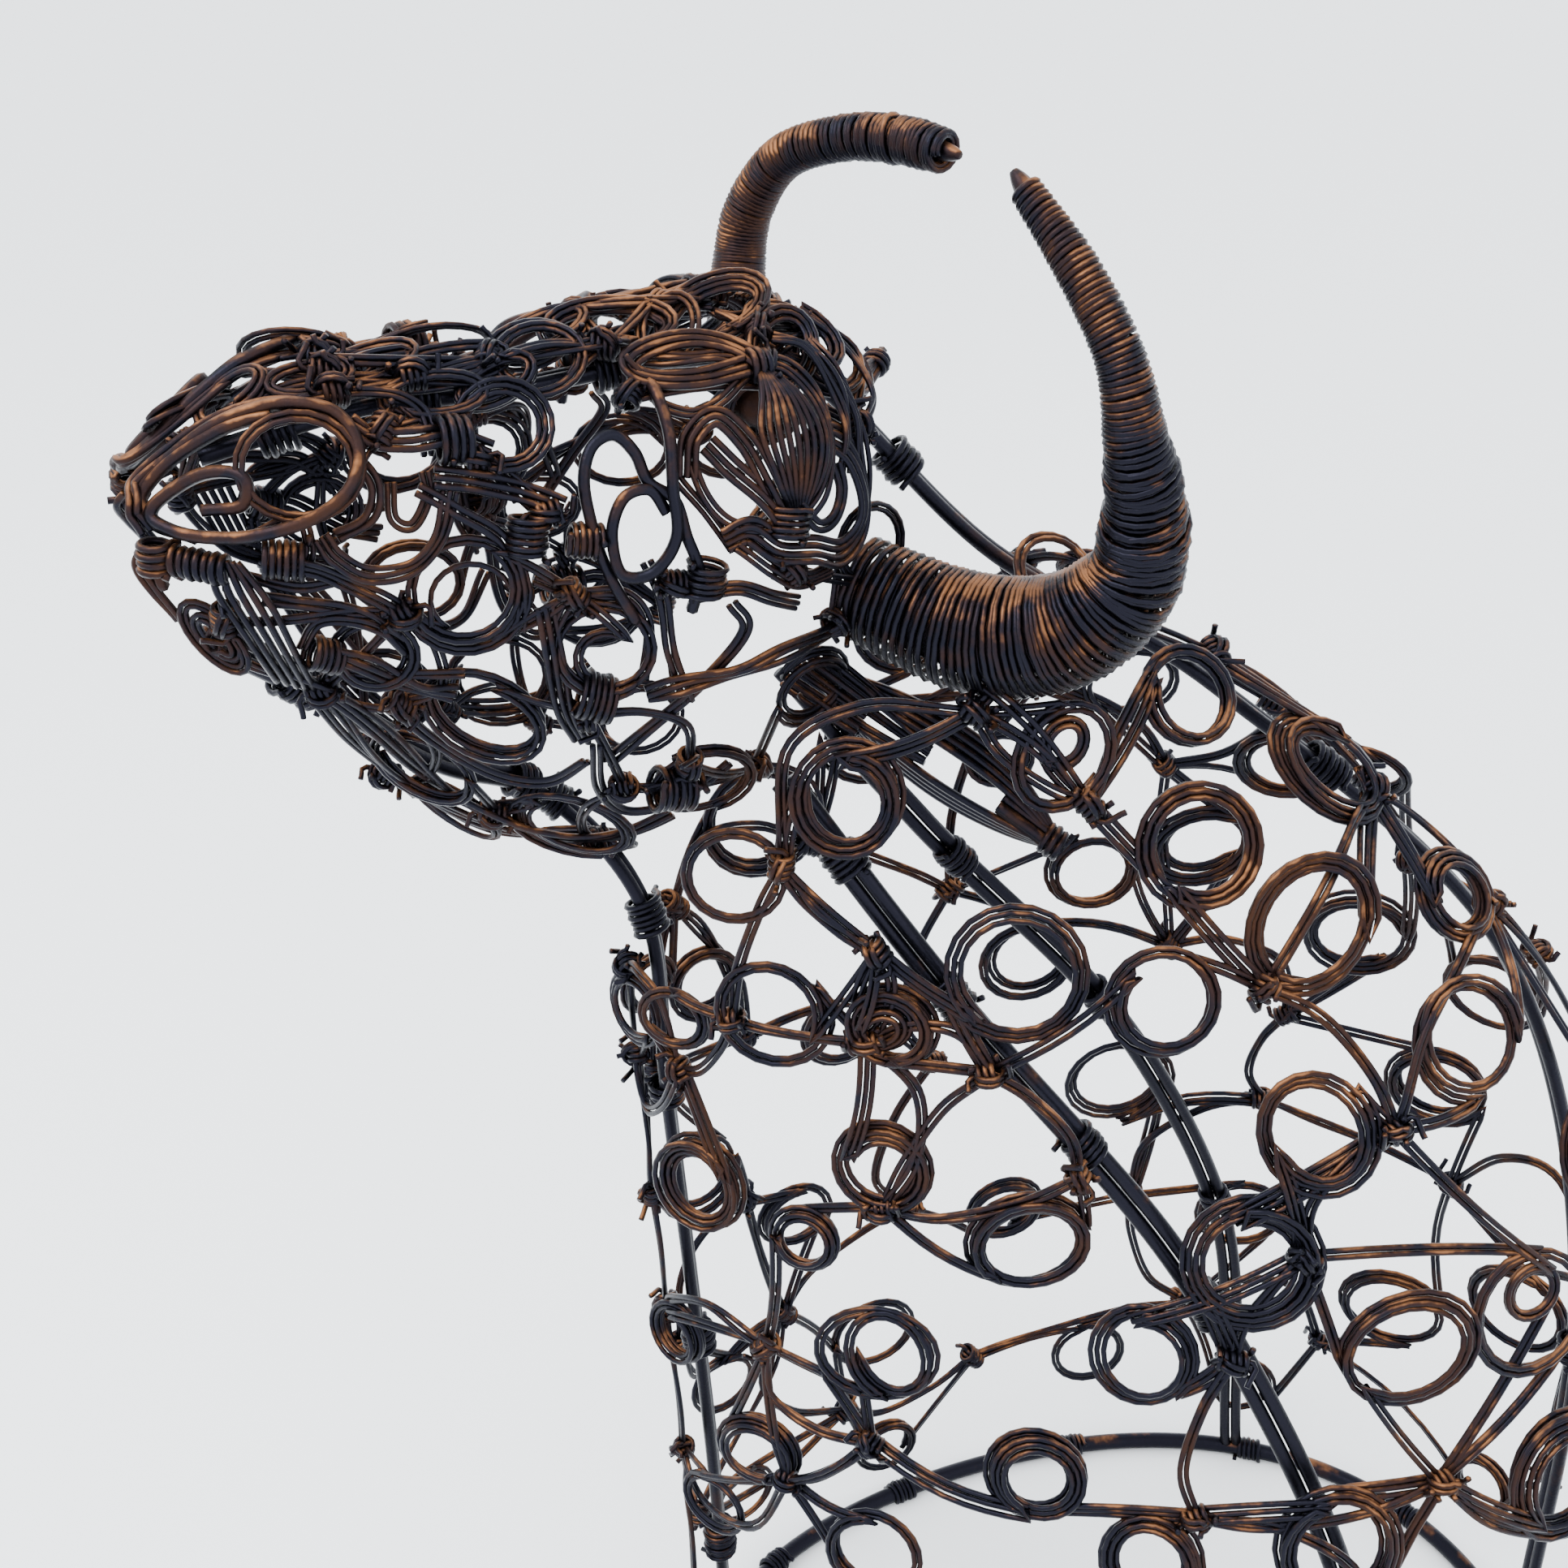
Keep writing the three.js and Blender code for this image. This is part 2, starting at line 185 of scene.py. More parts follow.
class Wirework:
    """Collects bent wires and makes one mesh of round tubes of them."""

    def __init__(self, seed):
        self.random = np.random.default_rng(seed)
        self.runs = []

    def wire(self, points, facing, radius, sides=6):
        """One wire: a round section carried along the points, its seam kept towards facing."""
        self.runs.append((np.asarray(points, float), np.asarray(facing, float), radius, sides))

    def bundle(self, points, facing, count, radius, spread=1.06, sway=0.5):
        """Wires side by side that slowly roll about their shared middle line."""
        points = np.asarray(points, float)
        facing = np.broadcast_to(np.asarray(facing, float), points.shape)
        heading = unit(np.gradient(points, axis=0))
        sideways = unit(np.cross(facing, heading))
        above = np.cross(heading, sideways)
        u = np.linspace(0, 1, len(points))[:, None]
        phase, speed = self.random.uniform(0, TURN), self.random.uniform(0.6, 1.6)
        roll = sway * np.sin(TURN * speed * u + phase)
        for k in range(count):
            place = (k - (count - 1) / 2) * 2 * radius * spread
            drift = 0.35 * radius * np.sin(TURN * (1.3 * speed * u) + phase + 2.1 * k)
            offset = place * (sideways * np.cos(roll) + above * np.sin(roll)) + drift * above
            self.wire(points + offset, facing, radius)

    def coil(self, middle, axis, outward, radius, wire, turns, pitch=None, tail=3.0):
        """A binding: a tight helix about an axis, whose two ends stand off as short stubs."""
        axis = unit(np.asarray(axis, float))
        outward = unit(outward - axis * np.dot(outward, axis))
        sideways = np.cross(axis, outward)
        pitch = pitch or 2.1 * wire
        angle = np.linspace(0, TURN * turns, int(14 * turns) + 1)[:, None]
        start = self.random.uniform(0, TURN)
        reach = radius * (1 + 0.06 * np.sin(angle * 0.37 + start))
        radial = outward * np.cos(angle + start) + sideways * np.sin(angle + start)
        along = (angle / TURN - turns / 2) * pitch
        points = middle + radial * reach + axis * along
        first = points[:1] + (points[:1] - points[1:2]) * 0.6 + radial[:1] * tail * 0.4
        last = points[-1:] + (points[-1:] - points[-2:-1]) * 0.6 + radial[-1:] * tail * 0.4
        self.wire(
            np.concatenate([first, points, last]),
            np.concatenate([radial[:1], radial, radial[-1:]]),
            wire,
        )

    def mesh(self, name, node_slot, nodes, material):
        """Rings of points, radius times cosine and sine in the plane across each wire."""
        corners, faces, start = [], [], 0
        for points, facing, radius, sides in self.runs:
            count = len(points)
            heading = unit(np.gradient(points, axis=0))
            facing = np.broadcast_to(facing, points.shape)
            above = unit(facing - heading * np.sum(facing * heading, axis=-1, keepdims=True))
            beside = np.cross(heading, above)
            angle = np.arange(sides) * TURN / sides
            section = above[:, None] * np.cos(angle)[:, None] + beside[:, None] * np.sin(angle)[:, None]
            if np.ndim(radius):
                radius = np.asarray(radius)[:, None, None]
            corners.append((points[:, None] + radius * section).reshape(-1, 3))
            row = start + sides * np.arange(count - 1)[:, None]
            here = row + np.arange(sides)
            beyond = row + (np.arange(sides) + 1) % sides
            faces.append(np.stack([here, beyond, beyond + sides, here + sides], -1).reshape(-1, 4))
            start += count * sides
        verts = np.concatenate(corners) * MM + SHIFT
        verts[:, 2] = np.maximum(verts[:, 2], 0.0)
        quads = np.concatenate(faces)
        mesh = bpy.data.meshes.new(name)
        caps = self._caps()
        loops = np.concatenate([quads.ravel()] + [cap for cap in caps])
        sizes = np.concatenate([np.full(len(quads), 4), [len(cap) for cap in caps]]).astype(int)
        mesh.vertices.add(len(verts))
        mesh.vertices.foreach_set("co", verts.ravel())
        mesh.loops.add(len(loops))
        mesh.loops.foreach_set("vertex_index", loops.astype(np.int32))
        mesh.polygons.add(len(sizes))
        mesh.polygons.foreach_set("loop_start", np.concatenate([[0], np.cumsum(sizes)[:-1]]).astype(np.int32))
        mesh.update(calc_edges=True)
        mesh.validate()
        mesh.shade_smooth()
        mesh.materials.append(material)
        piece = bpy.data.objects.new(name, mesh)
        bpy.context.scene.collection.objects.link(piece)
        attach(piece, "root")
        if nodes:
            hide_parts(*nodes)
        return piece

    def _caps(self):
        """The end faces of every wire, turned to point outwards."""
        caps, start = [], 0
        for points, _, _, sides in self.runs:
            first = start + np.arange(sides)
            last = start + (len(points) - 1) * sides + np.arange(sides)
            caps.append(first[::-1])
            caps.append(last)
            start += len(points) * sides
        return caps


# ---------------------------------------------------------------- finishes

class Shade:
    """A shader value: sums and products of values add Math nodes."""

    def __init__(self, tree, socket):
        self.tree = tree
        self.socket = socket

    def _math(self, operation, *values):
        return self.tree.node("ShaderNodeMath", {"operation": operation}, *values)

    def __add__(self, other):
        return self._math("ADD", self, other)

    __radd__ = __add__

    def __sub__(self, other):
        return self._math("SUBTRACT", self, other)

    def __rsub__(self, other):
        return self._math("SUBTRACT", other, self)

    def __mul__(self, other):
        return self._math("MULTIPLY", self, other)

    __rmul__ = __mul__

    def clamped(self):
        """The value held between 0 and 1."""
        return self.tree.node("ShaderNodeClamp", {}, self, 0.0, 1.0)


class Tree:
    """One material's node tree, built from Python expressions."""

    def __init__(self, name):
        self.material = bpy.data.materials.new(name)
        self.material.use_nodes = True
        self.nodes = self.material.node_tree.nodes
        self.nodes.clear()

    def node(self, kind, settings, *inputs, output=0, **named):
        """Adds a node, applies its settings, then fills its sockets with values or links."""
        node = self.nodes.new(kind)
        for key, value in settings.items():
            setattr(node, key, value)
        for key, value in [*enumerate(inputs), *named.items()]:
            socket = node.inputs[key if isinstance(key, int) else key.replace("_", " ")]
            if isinstance(value, Shade):
                self.material.node_tree.links.new(value.socket, socket)
            elif value is not None:
                socket.default_value = value
        return Shade(self, node.outputs[output]) if node.outputs else None

    def noise(self, where, scale, detail=3.0, rough=0.55):
        return self.node(
            "ShaderNodeTexNoise", {}, Vector=where, Scale=scale, Detail=detail, Roughness=rough)

    def blend(self, share, first, second):
        """A mix of two colours, by the share of the second."""
        node = self.nodes.new("ShaderNodeMix")
        node.data_type = "RGBA"
        sockets = {0: share, 6: first, 7: second}
        for index, value in sockets.items():
            if isinstance(value, Shade):
                self.material.node_tree.links.new(value.socket, node.inputs[index])
            else:
                node.inputs[index].default_value = value
        return Shade(self, node.outputs[2])

    def finish(self, colour, rough, height, depth, metallic):
        """Principled metal with a bump of the given depth, joined to the output."""
        bump = self.node("ShaderNodeBump", {}, Strength=0.6, Distance=depth, Height=height)
        surface = self.node(
            "ShaderNodeBsdfPrincipled", {}, Base_Color=colour, Roughness=rough,
            Metallic=metallic, Normal=bump)
        self.node("ShaderNodeOutputMaterial", {}, surface)
        return self.material


def rusted_iron(name, black, brown, bright, rust, rub_and_top_light_bias):
    """Annealed iron: blue-black scale, brown rust in patches, rubbed bright in spots; faces turned up are
    painted browner and brighter, a painted top light.
    """
    tree = Tree(name)
    where = tree.node("ShaderNodeTexCoord", {}, output=3)
    facing = tree.node("ShaderNodeTexCoord", {}, output=1)
    height = tree.node("ShaderNodeSeparateXYZ", {}, facing, output=2)
    broad = tree.noise(where, 26.0)
    patches = tree.noise(where, 150.0)
    grain = tree.noise(where, 1500.0, 2.0)
    # Brown rust in noise patches, plus a painted brown top light: faces turned up (height is the normal's upward
    # part) are painted browner.
    rust_and_top_light = ((broad - 0.5) * 3.2 + (patches - 0.5) * 2.2 + height * 0.35 + rust).clamped()
    # Bright copper on rubbed noise patches, plus a painted highlight on faces turned up.
    rubbed_and_lit = ((patches - 0.56) * 6.0 + (height - 0.45) * 2.5 + rub_and_top_light_bias).clamped()
    colour = tree.blend(rust_and_top_light, black, brown)
    colour = tree.blend(rubbed_and_lit * rust_and_top_light, colour, bright)
    rough = (0.34 + rust_and_top_light * 0.22 + grain * 0.1 - rubbed_and_lit * 0.06).clamped()
    return tree.finish(colour, rough, grain, 0.00012, 0.95)


class WireSettings(bpy.types.PropertyGroup):
    strand: bpy.props.FloatProperty(
        name="Strand", description="Thickness of the looped wire", default=1.4 * MM,
        unit="LENGTH")
    face_strand: bpy.props.FloatProperty(
        name="Face strand", description="Thickness of the looped wire of the face",
        default=1.2 * MM, unit="LENGTH")
    thick: bpy.props.FloatProperty(
        name="Feature wire", description="Thickness of the nostril and eye wire",
        default=2.5 * MM, unit="LENGTH")
    rod: bpy.props.FloatProperty(
        name="Rod", description="Thickness of one armature rod", default=3.3 * MM, unit="LENGTH")
    scale_black: bpy.props.FloatVectorProperty(
        name="Scale", description="Blue-black annealing scale", subtype="COLOR", size=4,
        default=(0.008, 0.008, 0.013, 1))
    # Brown rust, also laid on upward faces as a painted brown top light.
    rust_and_top_light_brown: bpy.props.FloatVectorProperty(
        name="Rust", description="Brown rust", subtype="COLOR", size=4,
        default=(0.036, 0.016, 0.010, 1))
    # Rubbed rust, also laid on upward faces as a painted highlight of the top light.
    rubbed_and_lit: bpy.props.FloatVectorProperty(
        name="Rubbed rust", description="Where the rust is rubbed bright", subtype="COLOR",
        size=4, default=(0.20, 0.086, 0.037, 1))
    floor: bpy.props.FloatVectorProperty(
        name="Floor", description="Colour of the floor", subtype="COLOR", size=4,
        default=(0.93, 0.95, 0.96, 1))


def settings():
    return bpy.context.scene.wire_bull


def finish_for(slot):
    """The finish of a material slot, made once."""
    made = bpy.data.materials.get("finish_" + slot)
    if made:
        return made
    sizes = settings()
    # Each pair shifts the rust mask and the rubbed mask; both masks also carry the painted top light, strongest
    # on the horns.
    amounts = {"rod": (-0.42, -0.5), "wire": (0.14, -0.1), "horn_wire": (0.2, 0.1)}
    rust, rub_and_top_light_bias = amounts[slot]
    return rusted_iron(
        "finish_" + slot, tuple(sizes.scale_black), tuple(sizes.rust_and_top_light_brown),
        tuple(sizes.rubbed_and_lit), rust, rub_and_top_light_bias)


# ---------------------------------------------------------------- layouts

# Rings of the neck: station, way round, half length, half width, lean in degrees, strands
NECK_RINGS_NEAR = (
    (0.955, 0.61, 10, 11.5, 0, 2), (0.825, 0.64, 11.5, 12, 0, 2), (0.885, 0.93, 8, 9, 0, 2),
    (0.87, 0.79, 7, 9, 0, 2), (0.745, 0.44, 14, 13.5, 0, 3), (0.76, 0.545, 9, 8, 30, 2),
    (0.765, 0.55, 4.5, 5.5, 0, 2), (0.67, 0.37, 11, 11, 0, 2), (0.835, 0.28, 9, 11.5, 0, 2),
    (0.84, 0.27, 4, 5, 0, 2), (0.79, 0.14, 10, 10, 20, 2), (0.73, 0.26, 12, 12, 0, 3),
    (0.65, 0.245, 12.5, 15, 0, 3), (0.69, 0.09, 14, 9, 0, 3), (0.59, 0.115, 9.5, 8.5, 0, 3),
    (0.535, 0.21, 13, 12, 0, 2), (0.545, 0.345, 13.5, 11, 0, 3), (0.485, 0.42, 13.5, 13, 0, 4),
    (0.555, 0.54, 10, 13, 0, 2), (0.655, 0.61, 10, 9.5, 0, 3), (0.685, 0.81, 11, 10, 0, 3),
    (0.61, 0.7, 7.5, 7.5, 0, 2), (0.49, 0.67, 12, 15, 0, 2), (0.485, 0.66, 11, 9, 0, 2),
    (0.445, 0.5, 11.5, 10.5, 0, 3), (0.375, 0.8, 9, 10.5, 0, 2), (0.39, 0.345, 12, 15, 0, 2),
    (0.37, 0.25, 15, 15, 0, 2), (0.38, 0.245, 6, 6.5, 0, 2), (0.365, 0.58, 10, 10, 0, 3),
    (0.29, 0.52, 12, 10, 10, 3), (0.28, 0.41, 14, 13, 0, 3), (0.29, 0.7, 11, 11, 0, 2),
    (0.28, 0.88, 8, 10, 0, 2), (0.26, 0.24, 15, 14, 0, 3), (0.27, 0.11, 13, 12, 0, 2),
    (0.18, 0.61, 14, 13, 0, 3), (0.16, 0.79, 12, 12, 0, 2), (0.15, 0.46, 14, 13, 0, 3),
    (0.14, 0.3, 15, 15, 0, 2), (0.14, 0.13, 14, 14, 0, 2), (0.41, 0.12, 12, 12, 0, 2),
    (0.07, 0.54, 11, 10, 0, 2), (0.06, 0.38, 12, 10, 0, 2), (0.06, 0.2, 12, 11, 0, 2),
    (0.06, 0.7, 10, 9, 0, 2), (0.93, 0.45, 10, 11, 40, 3), (0.93, 0.22, 9, 9, 0, 2),
    (0.08, 0.9, 9, 9, 0, 2), (0.49, 0.92, 8, 8, 0, 2), (0.9, 0.08, 9, 9, 0, 2),
)
NECK_KNOTS_NEAR = (
    (0.84, 0.69), (0.76, 0.57), (0.69, 0.5), (0.8, 0.3), (0.66, 0.07), (0.565, 0.08),
    (0.52, 0.3), (0.475, 0.39), (0.59, 0.49), (0.62, 0.625), (0.425, 0.45), (0.32, 0.49),
    (0.4, 0.69), (0.5, 0.77), (0.35, 0.77), (0.815, 0.8), (0.64, 0.31), (0.82, 0.52),
    (0.3, 0.34), (0.93, 0.96), (0.82, 0.99), (0.49, 0.99), (0.3, 0.97), (0.2, 0.4),
    (0.21, 0.7), (0.21, 0.2), (0.42, 0.03), (0.78, 0.04), (0.9, 0.3), (0.1, 0.62),
    (0.1, 0.28), (0.1, 0.46), (0.22, 0.04), (0.12, 0.97), (0.1, 0.82), (0.93, 0.55),
    (0.65, 0.97), (0.1, 0.06),
)
NECK_RINGS_FAR = (
    (0.87, 0.635, 15, 15, 0, 2), (0.9, 0.38, 11, 11, 0, 2), (0.84, 0.49, 12, 12, 0, 2),
    (0.78, 0.78, 9, 9, 0, 2), (0.86, 0.9, 7, 7, 0, 2), (0.74, 0.41, 8, 8, 0, 2),
    (0.74, 0.25, 10, 12, 0, 2), (0.63, 0.2, 11, 11, 0, 2), (0.62, 0.1, 9, 9, 0, 2),
    (0.6, 0.42, 11, 11, 0, 2), (0.55, 0.5, 12, 12, 0, 2), (0.6, 0.66, 10, 10, 0, 2),
    (0.58, 0.86, 12, 11, 0, 2), (0.58, 0.33, 11, 13, 0, 3), (0.465, 0.25, 13, 13, 0, 3),
    (0.42, 0.13, 12, 12, 0, 2), (0.38, 0.47, 15, 15, 0, 3), (0.42, 0.75, 10, 10, 0, 2),
    (0.33, 0.21, 13, 13, 0, 2), (0.28, 0.57, 11, 11, 0, 2), (0.21, 0.38, 13, 13, 0, 2),
    (0.2, 0.69, 13, 13, 0, 2), (0.14, 0.24, 15, 13, 90, 2), (0.18, 0.12, 14, 14, 0, 2),
    (0.09, 0.5, 12, 11, 0, 2), (0.1, 0.85, 10, 10, 0, 2), (0.05, 0.36, 12, 9, 0, 2),
    (0.05, 0.68, 10, 9, 0, 2), (0.84, 0.12, 9, 9, 0, 2), (0.27, 0.87, 9, 9, 0, 2),
    (0.05, 0.12, 11, 9, 0, 2),
)
NECK_KNOTS_FAR = (
    (0.8, 0.6), (0.9, 0.5), (0.78, 0.33), (0.69, 0.12), (0.66, 0.3), (0.66, 0.52),
    (0.5, 0.4), (0.53, 0.16), (0.68, 0.75), (0.5, 0.6), (0.49, 0.8), (0.4, 0.33),
    (0.34, 0.65), (0.32, 0.36), (0.25, 0.2), (0.25, 0.47), (0.3, 0.78), (0.12, 0.6),
    (0.13, 0.42), (0.1, 0.3), (0.12, 0.72), (0.9, 0.8), (0.24, 0.03), (0.48, 0.03),
    (0.75, 0.92), (0.4, 0.95), (0.15, 0.95), (0.88, 0.2), (0.1, 0.05),
)

# Loops of the face: station, way round, half length, half width, lean, turns, strands
FACE_LOOPS_NEAR = (
    (0.845, 0.215, 10.3, 9, 0, 2.2, 2), (0.6, 0.15, 8, 7.8, 0, 2.1, 3),
    (0.63, 0.4, 11, 11, 0, 2.3, 2), (0.62, 0.41, 8, 8, 0, 1.2, 1),
    (0.72, 0.54, 7.5, 7.5, 0, 2.1, 2), (0.44, 0.44, 10, 10, 0, 2.2, 2),
    (0.43, 0.45, 6.5, 6.5, 0, 1.2, 2), (0.55, 0.58, 13, 9, -10, 2.2, 2),
    (0.58, 0.75, 12, 8, 0, 2.1, 2), (0.34, 0.75, 14, 9, 0, 2.2, 3),
    (0.235, 0.06, 9, 6, 60, 2.2, 3), (0.9, 0.62, 8, 4, -20, 2.2, 2), (0.9, 0.62, 5, 2.5, -20, 2.2, 2),
    (0.15, 0.05, 9, 7, 30, 2.2, 2),
    (0.21, 0.62, 11, 9, 0, 2.1, 2),
    
    
    (0.08, 0.3, 9, 8, 0, 2.1, 2),
    (0.1, 0.5, 9, 8, 0, 2.1, 2), 
    (0.68, 0.08, 9, 4, 0, 2.1, 2),
    (0.25, 0.9, 12, 7, 0, 2.1, 2), (0.48, 0.9, 12, 7, 0, 2.1, 2),
)
FACE_LOOPS_FAR = (
    (0.8, 0.18, 10, 9, 0, 2.1, 2), (0.62, 0.16, 10, 9, 0, 2.1, 2),
    (0.6, 0.42, 11, 11, 0, 2.1, 2), (0.7, 0.55, 8, 8, 0, 2.1, 2),
    (0.46, 0.45, 11, 11, 0, 2.1, 2), (0.53, 0.62, 12, 9, 0, 2.1, 2),
    (0.56, 0.8, 11, 8, 0, 2.1, 2), (0.35, 0.74, 13, 10, 0, 2.1, 2),
    (0.32, 0.24, 10, 7.5, 45, 2.2, 3), (0.2, 0.25, 11, 9, 60, 2.1, 2),
    (0.36, 0.08, 12, 6, 0, 2.2, 3), (0.22, 0.45, 11, 9, 0, 2.1, 2),
    (0.2, 0.65, 11, 9, 0, 2.1, 2), (0.46, 0.25, 9, 8, 0, 2.1, 2),
    (0.33, 0.52, 10, 8, 0, 2.1, 2), (0.93, 0.16, 9, 4, 40, 2.4, 3),
    (0.92, 0.2, 6, 2.5, 40, 2.0, 2), (0.08, 0.4, 9, 9, 0, 2.1, 2),
    (0.12, 0.82, 10, 8, 0, 2.1, 2), (0.73, 0.3, 7, 6, 0, 2.1, 2),
)
FACE_KNOTS = (
    (0.64, 0.2), (0.8, 0.06), (0.43, 0.53), (0.33, 0.63), (0.26, 0.58), (0.27, 0.09),
    (0.55, 0.28), (0.5, 0.38), (0.7, 0.45), (0.66, 0.62), (0.45, 0.8), (0.28, 0.8),
    (0.12, 0.4), (0.13, 0.15), (0.45, 0.12), (0.1, 0.65), (0.23, 0.33), (0.6, 0.9),
    (0.38, 0.35), (0.9, 0.55), (0.76, 0.66), (0.75, 0.15),
)
# Bent wires of the face: gauge, strands, then station, way round and lift of each bend
MUZZLE_LINES = (
    ("thick", 1, (
        (0.935, 0.28, 2), (0.9, 0.28, 2), (0.9, 0.22, 2.5), (0.94, 0.185, 2.5), (0.975, 0.22, 2.5),
        (0.98, 0.28, 2.5), (0.955, 0.33, 3), (0.92, 0.345, 3), (0.88, 0.335, 3.5), (0.83, 0.3, 3.5),
        (0.795, 0.25, 3.5), (0.785, 0.19, 3.5), (0.805, 0.13, 3.5), (0.845, 0.1, 3),
        (0.885, 0.085, 3), (0.93, 0.075, 3), (0.975, 0.085, 2), (1.0, 0.15, 2), (0.995, 0.26, 1))),
    ("thick", 1, (
        (0.87, 0.11, 2), (0.92, 0.095, 2), (0.97, 0.1, 2), (0.993, 0.17, 1.5), (0.98, 0.3, 1),
        (0.94, 0.355, 1))),
    ("stout", 2, (
        (0.82, 0.1, 1), (0.88, 0.07, 1.5), (0.94, 0.05, 2), (0.99, 0.08, 2.5), (1.0, 0.2, 3),
        (0.985, 0.33, 2))),
    ("stout", 3, ((0.79, 0.14, 2), (0.76, 0.165, 1.5), (0.72, 0.17, 1.5), (0.67, 0.165, 2), (0.62, 0.19, 1))),
    ("fine", 2, ((0.84, 0.08, 1), (0.78, 0.07, 1.5), (0.73, 0.08, 1.5), (0.7, 0.11, 1), (0.69, 0.16, 1))),
    ("fine", 3, (
        (0.82, 0.34, 1), (0.8, 0.37, 2), (0.76, 0.39, 2.5), (0.71, 0.37, 2.5), (0.68, 0.32, 2),
        (0.67, 0.25, 1))),
    ("stout", 3, ((0.69, 0.23, 1), (0.64, 0.235, 1.5), (0.58, 0.25, 1), (0.53, 0.27, 1))),
    ("stout", 2, ((0.71, 0.25, 1), (0.66, 0.28, 1.5), (0.6, 0.315, 1.5), (0.57, 0.37, 1.5), (0.55, 0.44, 1))),
    ("stout", 2, ((0.78, 0.2, 0), (0.76, 0.25, 1), (0.765, 0.3, 1), (0.8, 0.34, 0))),
    ("fine", 2, ((0.74, 0.24, -1), (0.735, 0.3, 0), (0.71, 0.31, 0), (0.695, 0.26, 0), (0.7, 0.22, 0))),
    ("fine", 2, ((0.9, 0.36, 0), (0.85, 0.31, 0), (0.83, 0.36, 0), (0.83, 0.41, 0))),
    ("stout", 2, ((0.99, 0.42, 0), (0.99, 0.5, 1), (0.97, 0.58, 1), (0.94, 0.66, 0))),
    ("thick", 1, ((0.97, 0.42, 0), (0.975, 0.48, 1), (0.965, 0.55, 0))),
    ("fine", 3, ((0.86, 0.4, 1), (0.82, 0.4, 1), (0.77, 0.42, 1), (0.72, 0.44, 1), (0.68, 0.47, 0))),
    ("fine", 2, ((0.89, 0.44, 0), (0.83, 0.44, 0), (0.79, 0.42, 0))),
    ("stout", 2, ((0.87, 0.48, 0), (0.8, 0.47, 0), (0.74, 0.47, 1), (0.68, 0.51, 1))),
    ("fine", 2, ((0.81, 0.56, 1), (0.8, 0.5, 1), (0.75, 0.48, 1.5), (0.69, 0.5, 1), (0.66, 0.54, 1))),
    ("fine", 2, ((0.8, 0.6, 1), (0.73, 0.575, 2), (0.66, 0.54, 2), (0.6, 0.52, 1))),
    ("stout", 3, ((0.77, 0.55, 2), (0.73, 0.55, 2.5), (0.66, 0.565, 2), (0.6, 0.56, 1))),
)
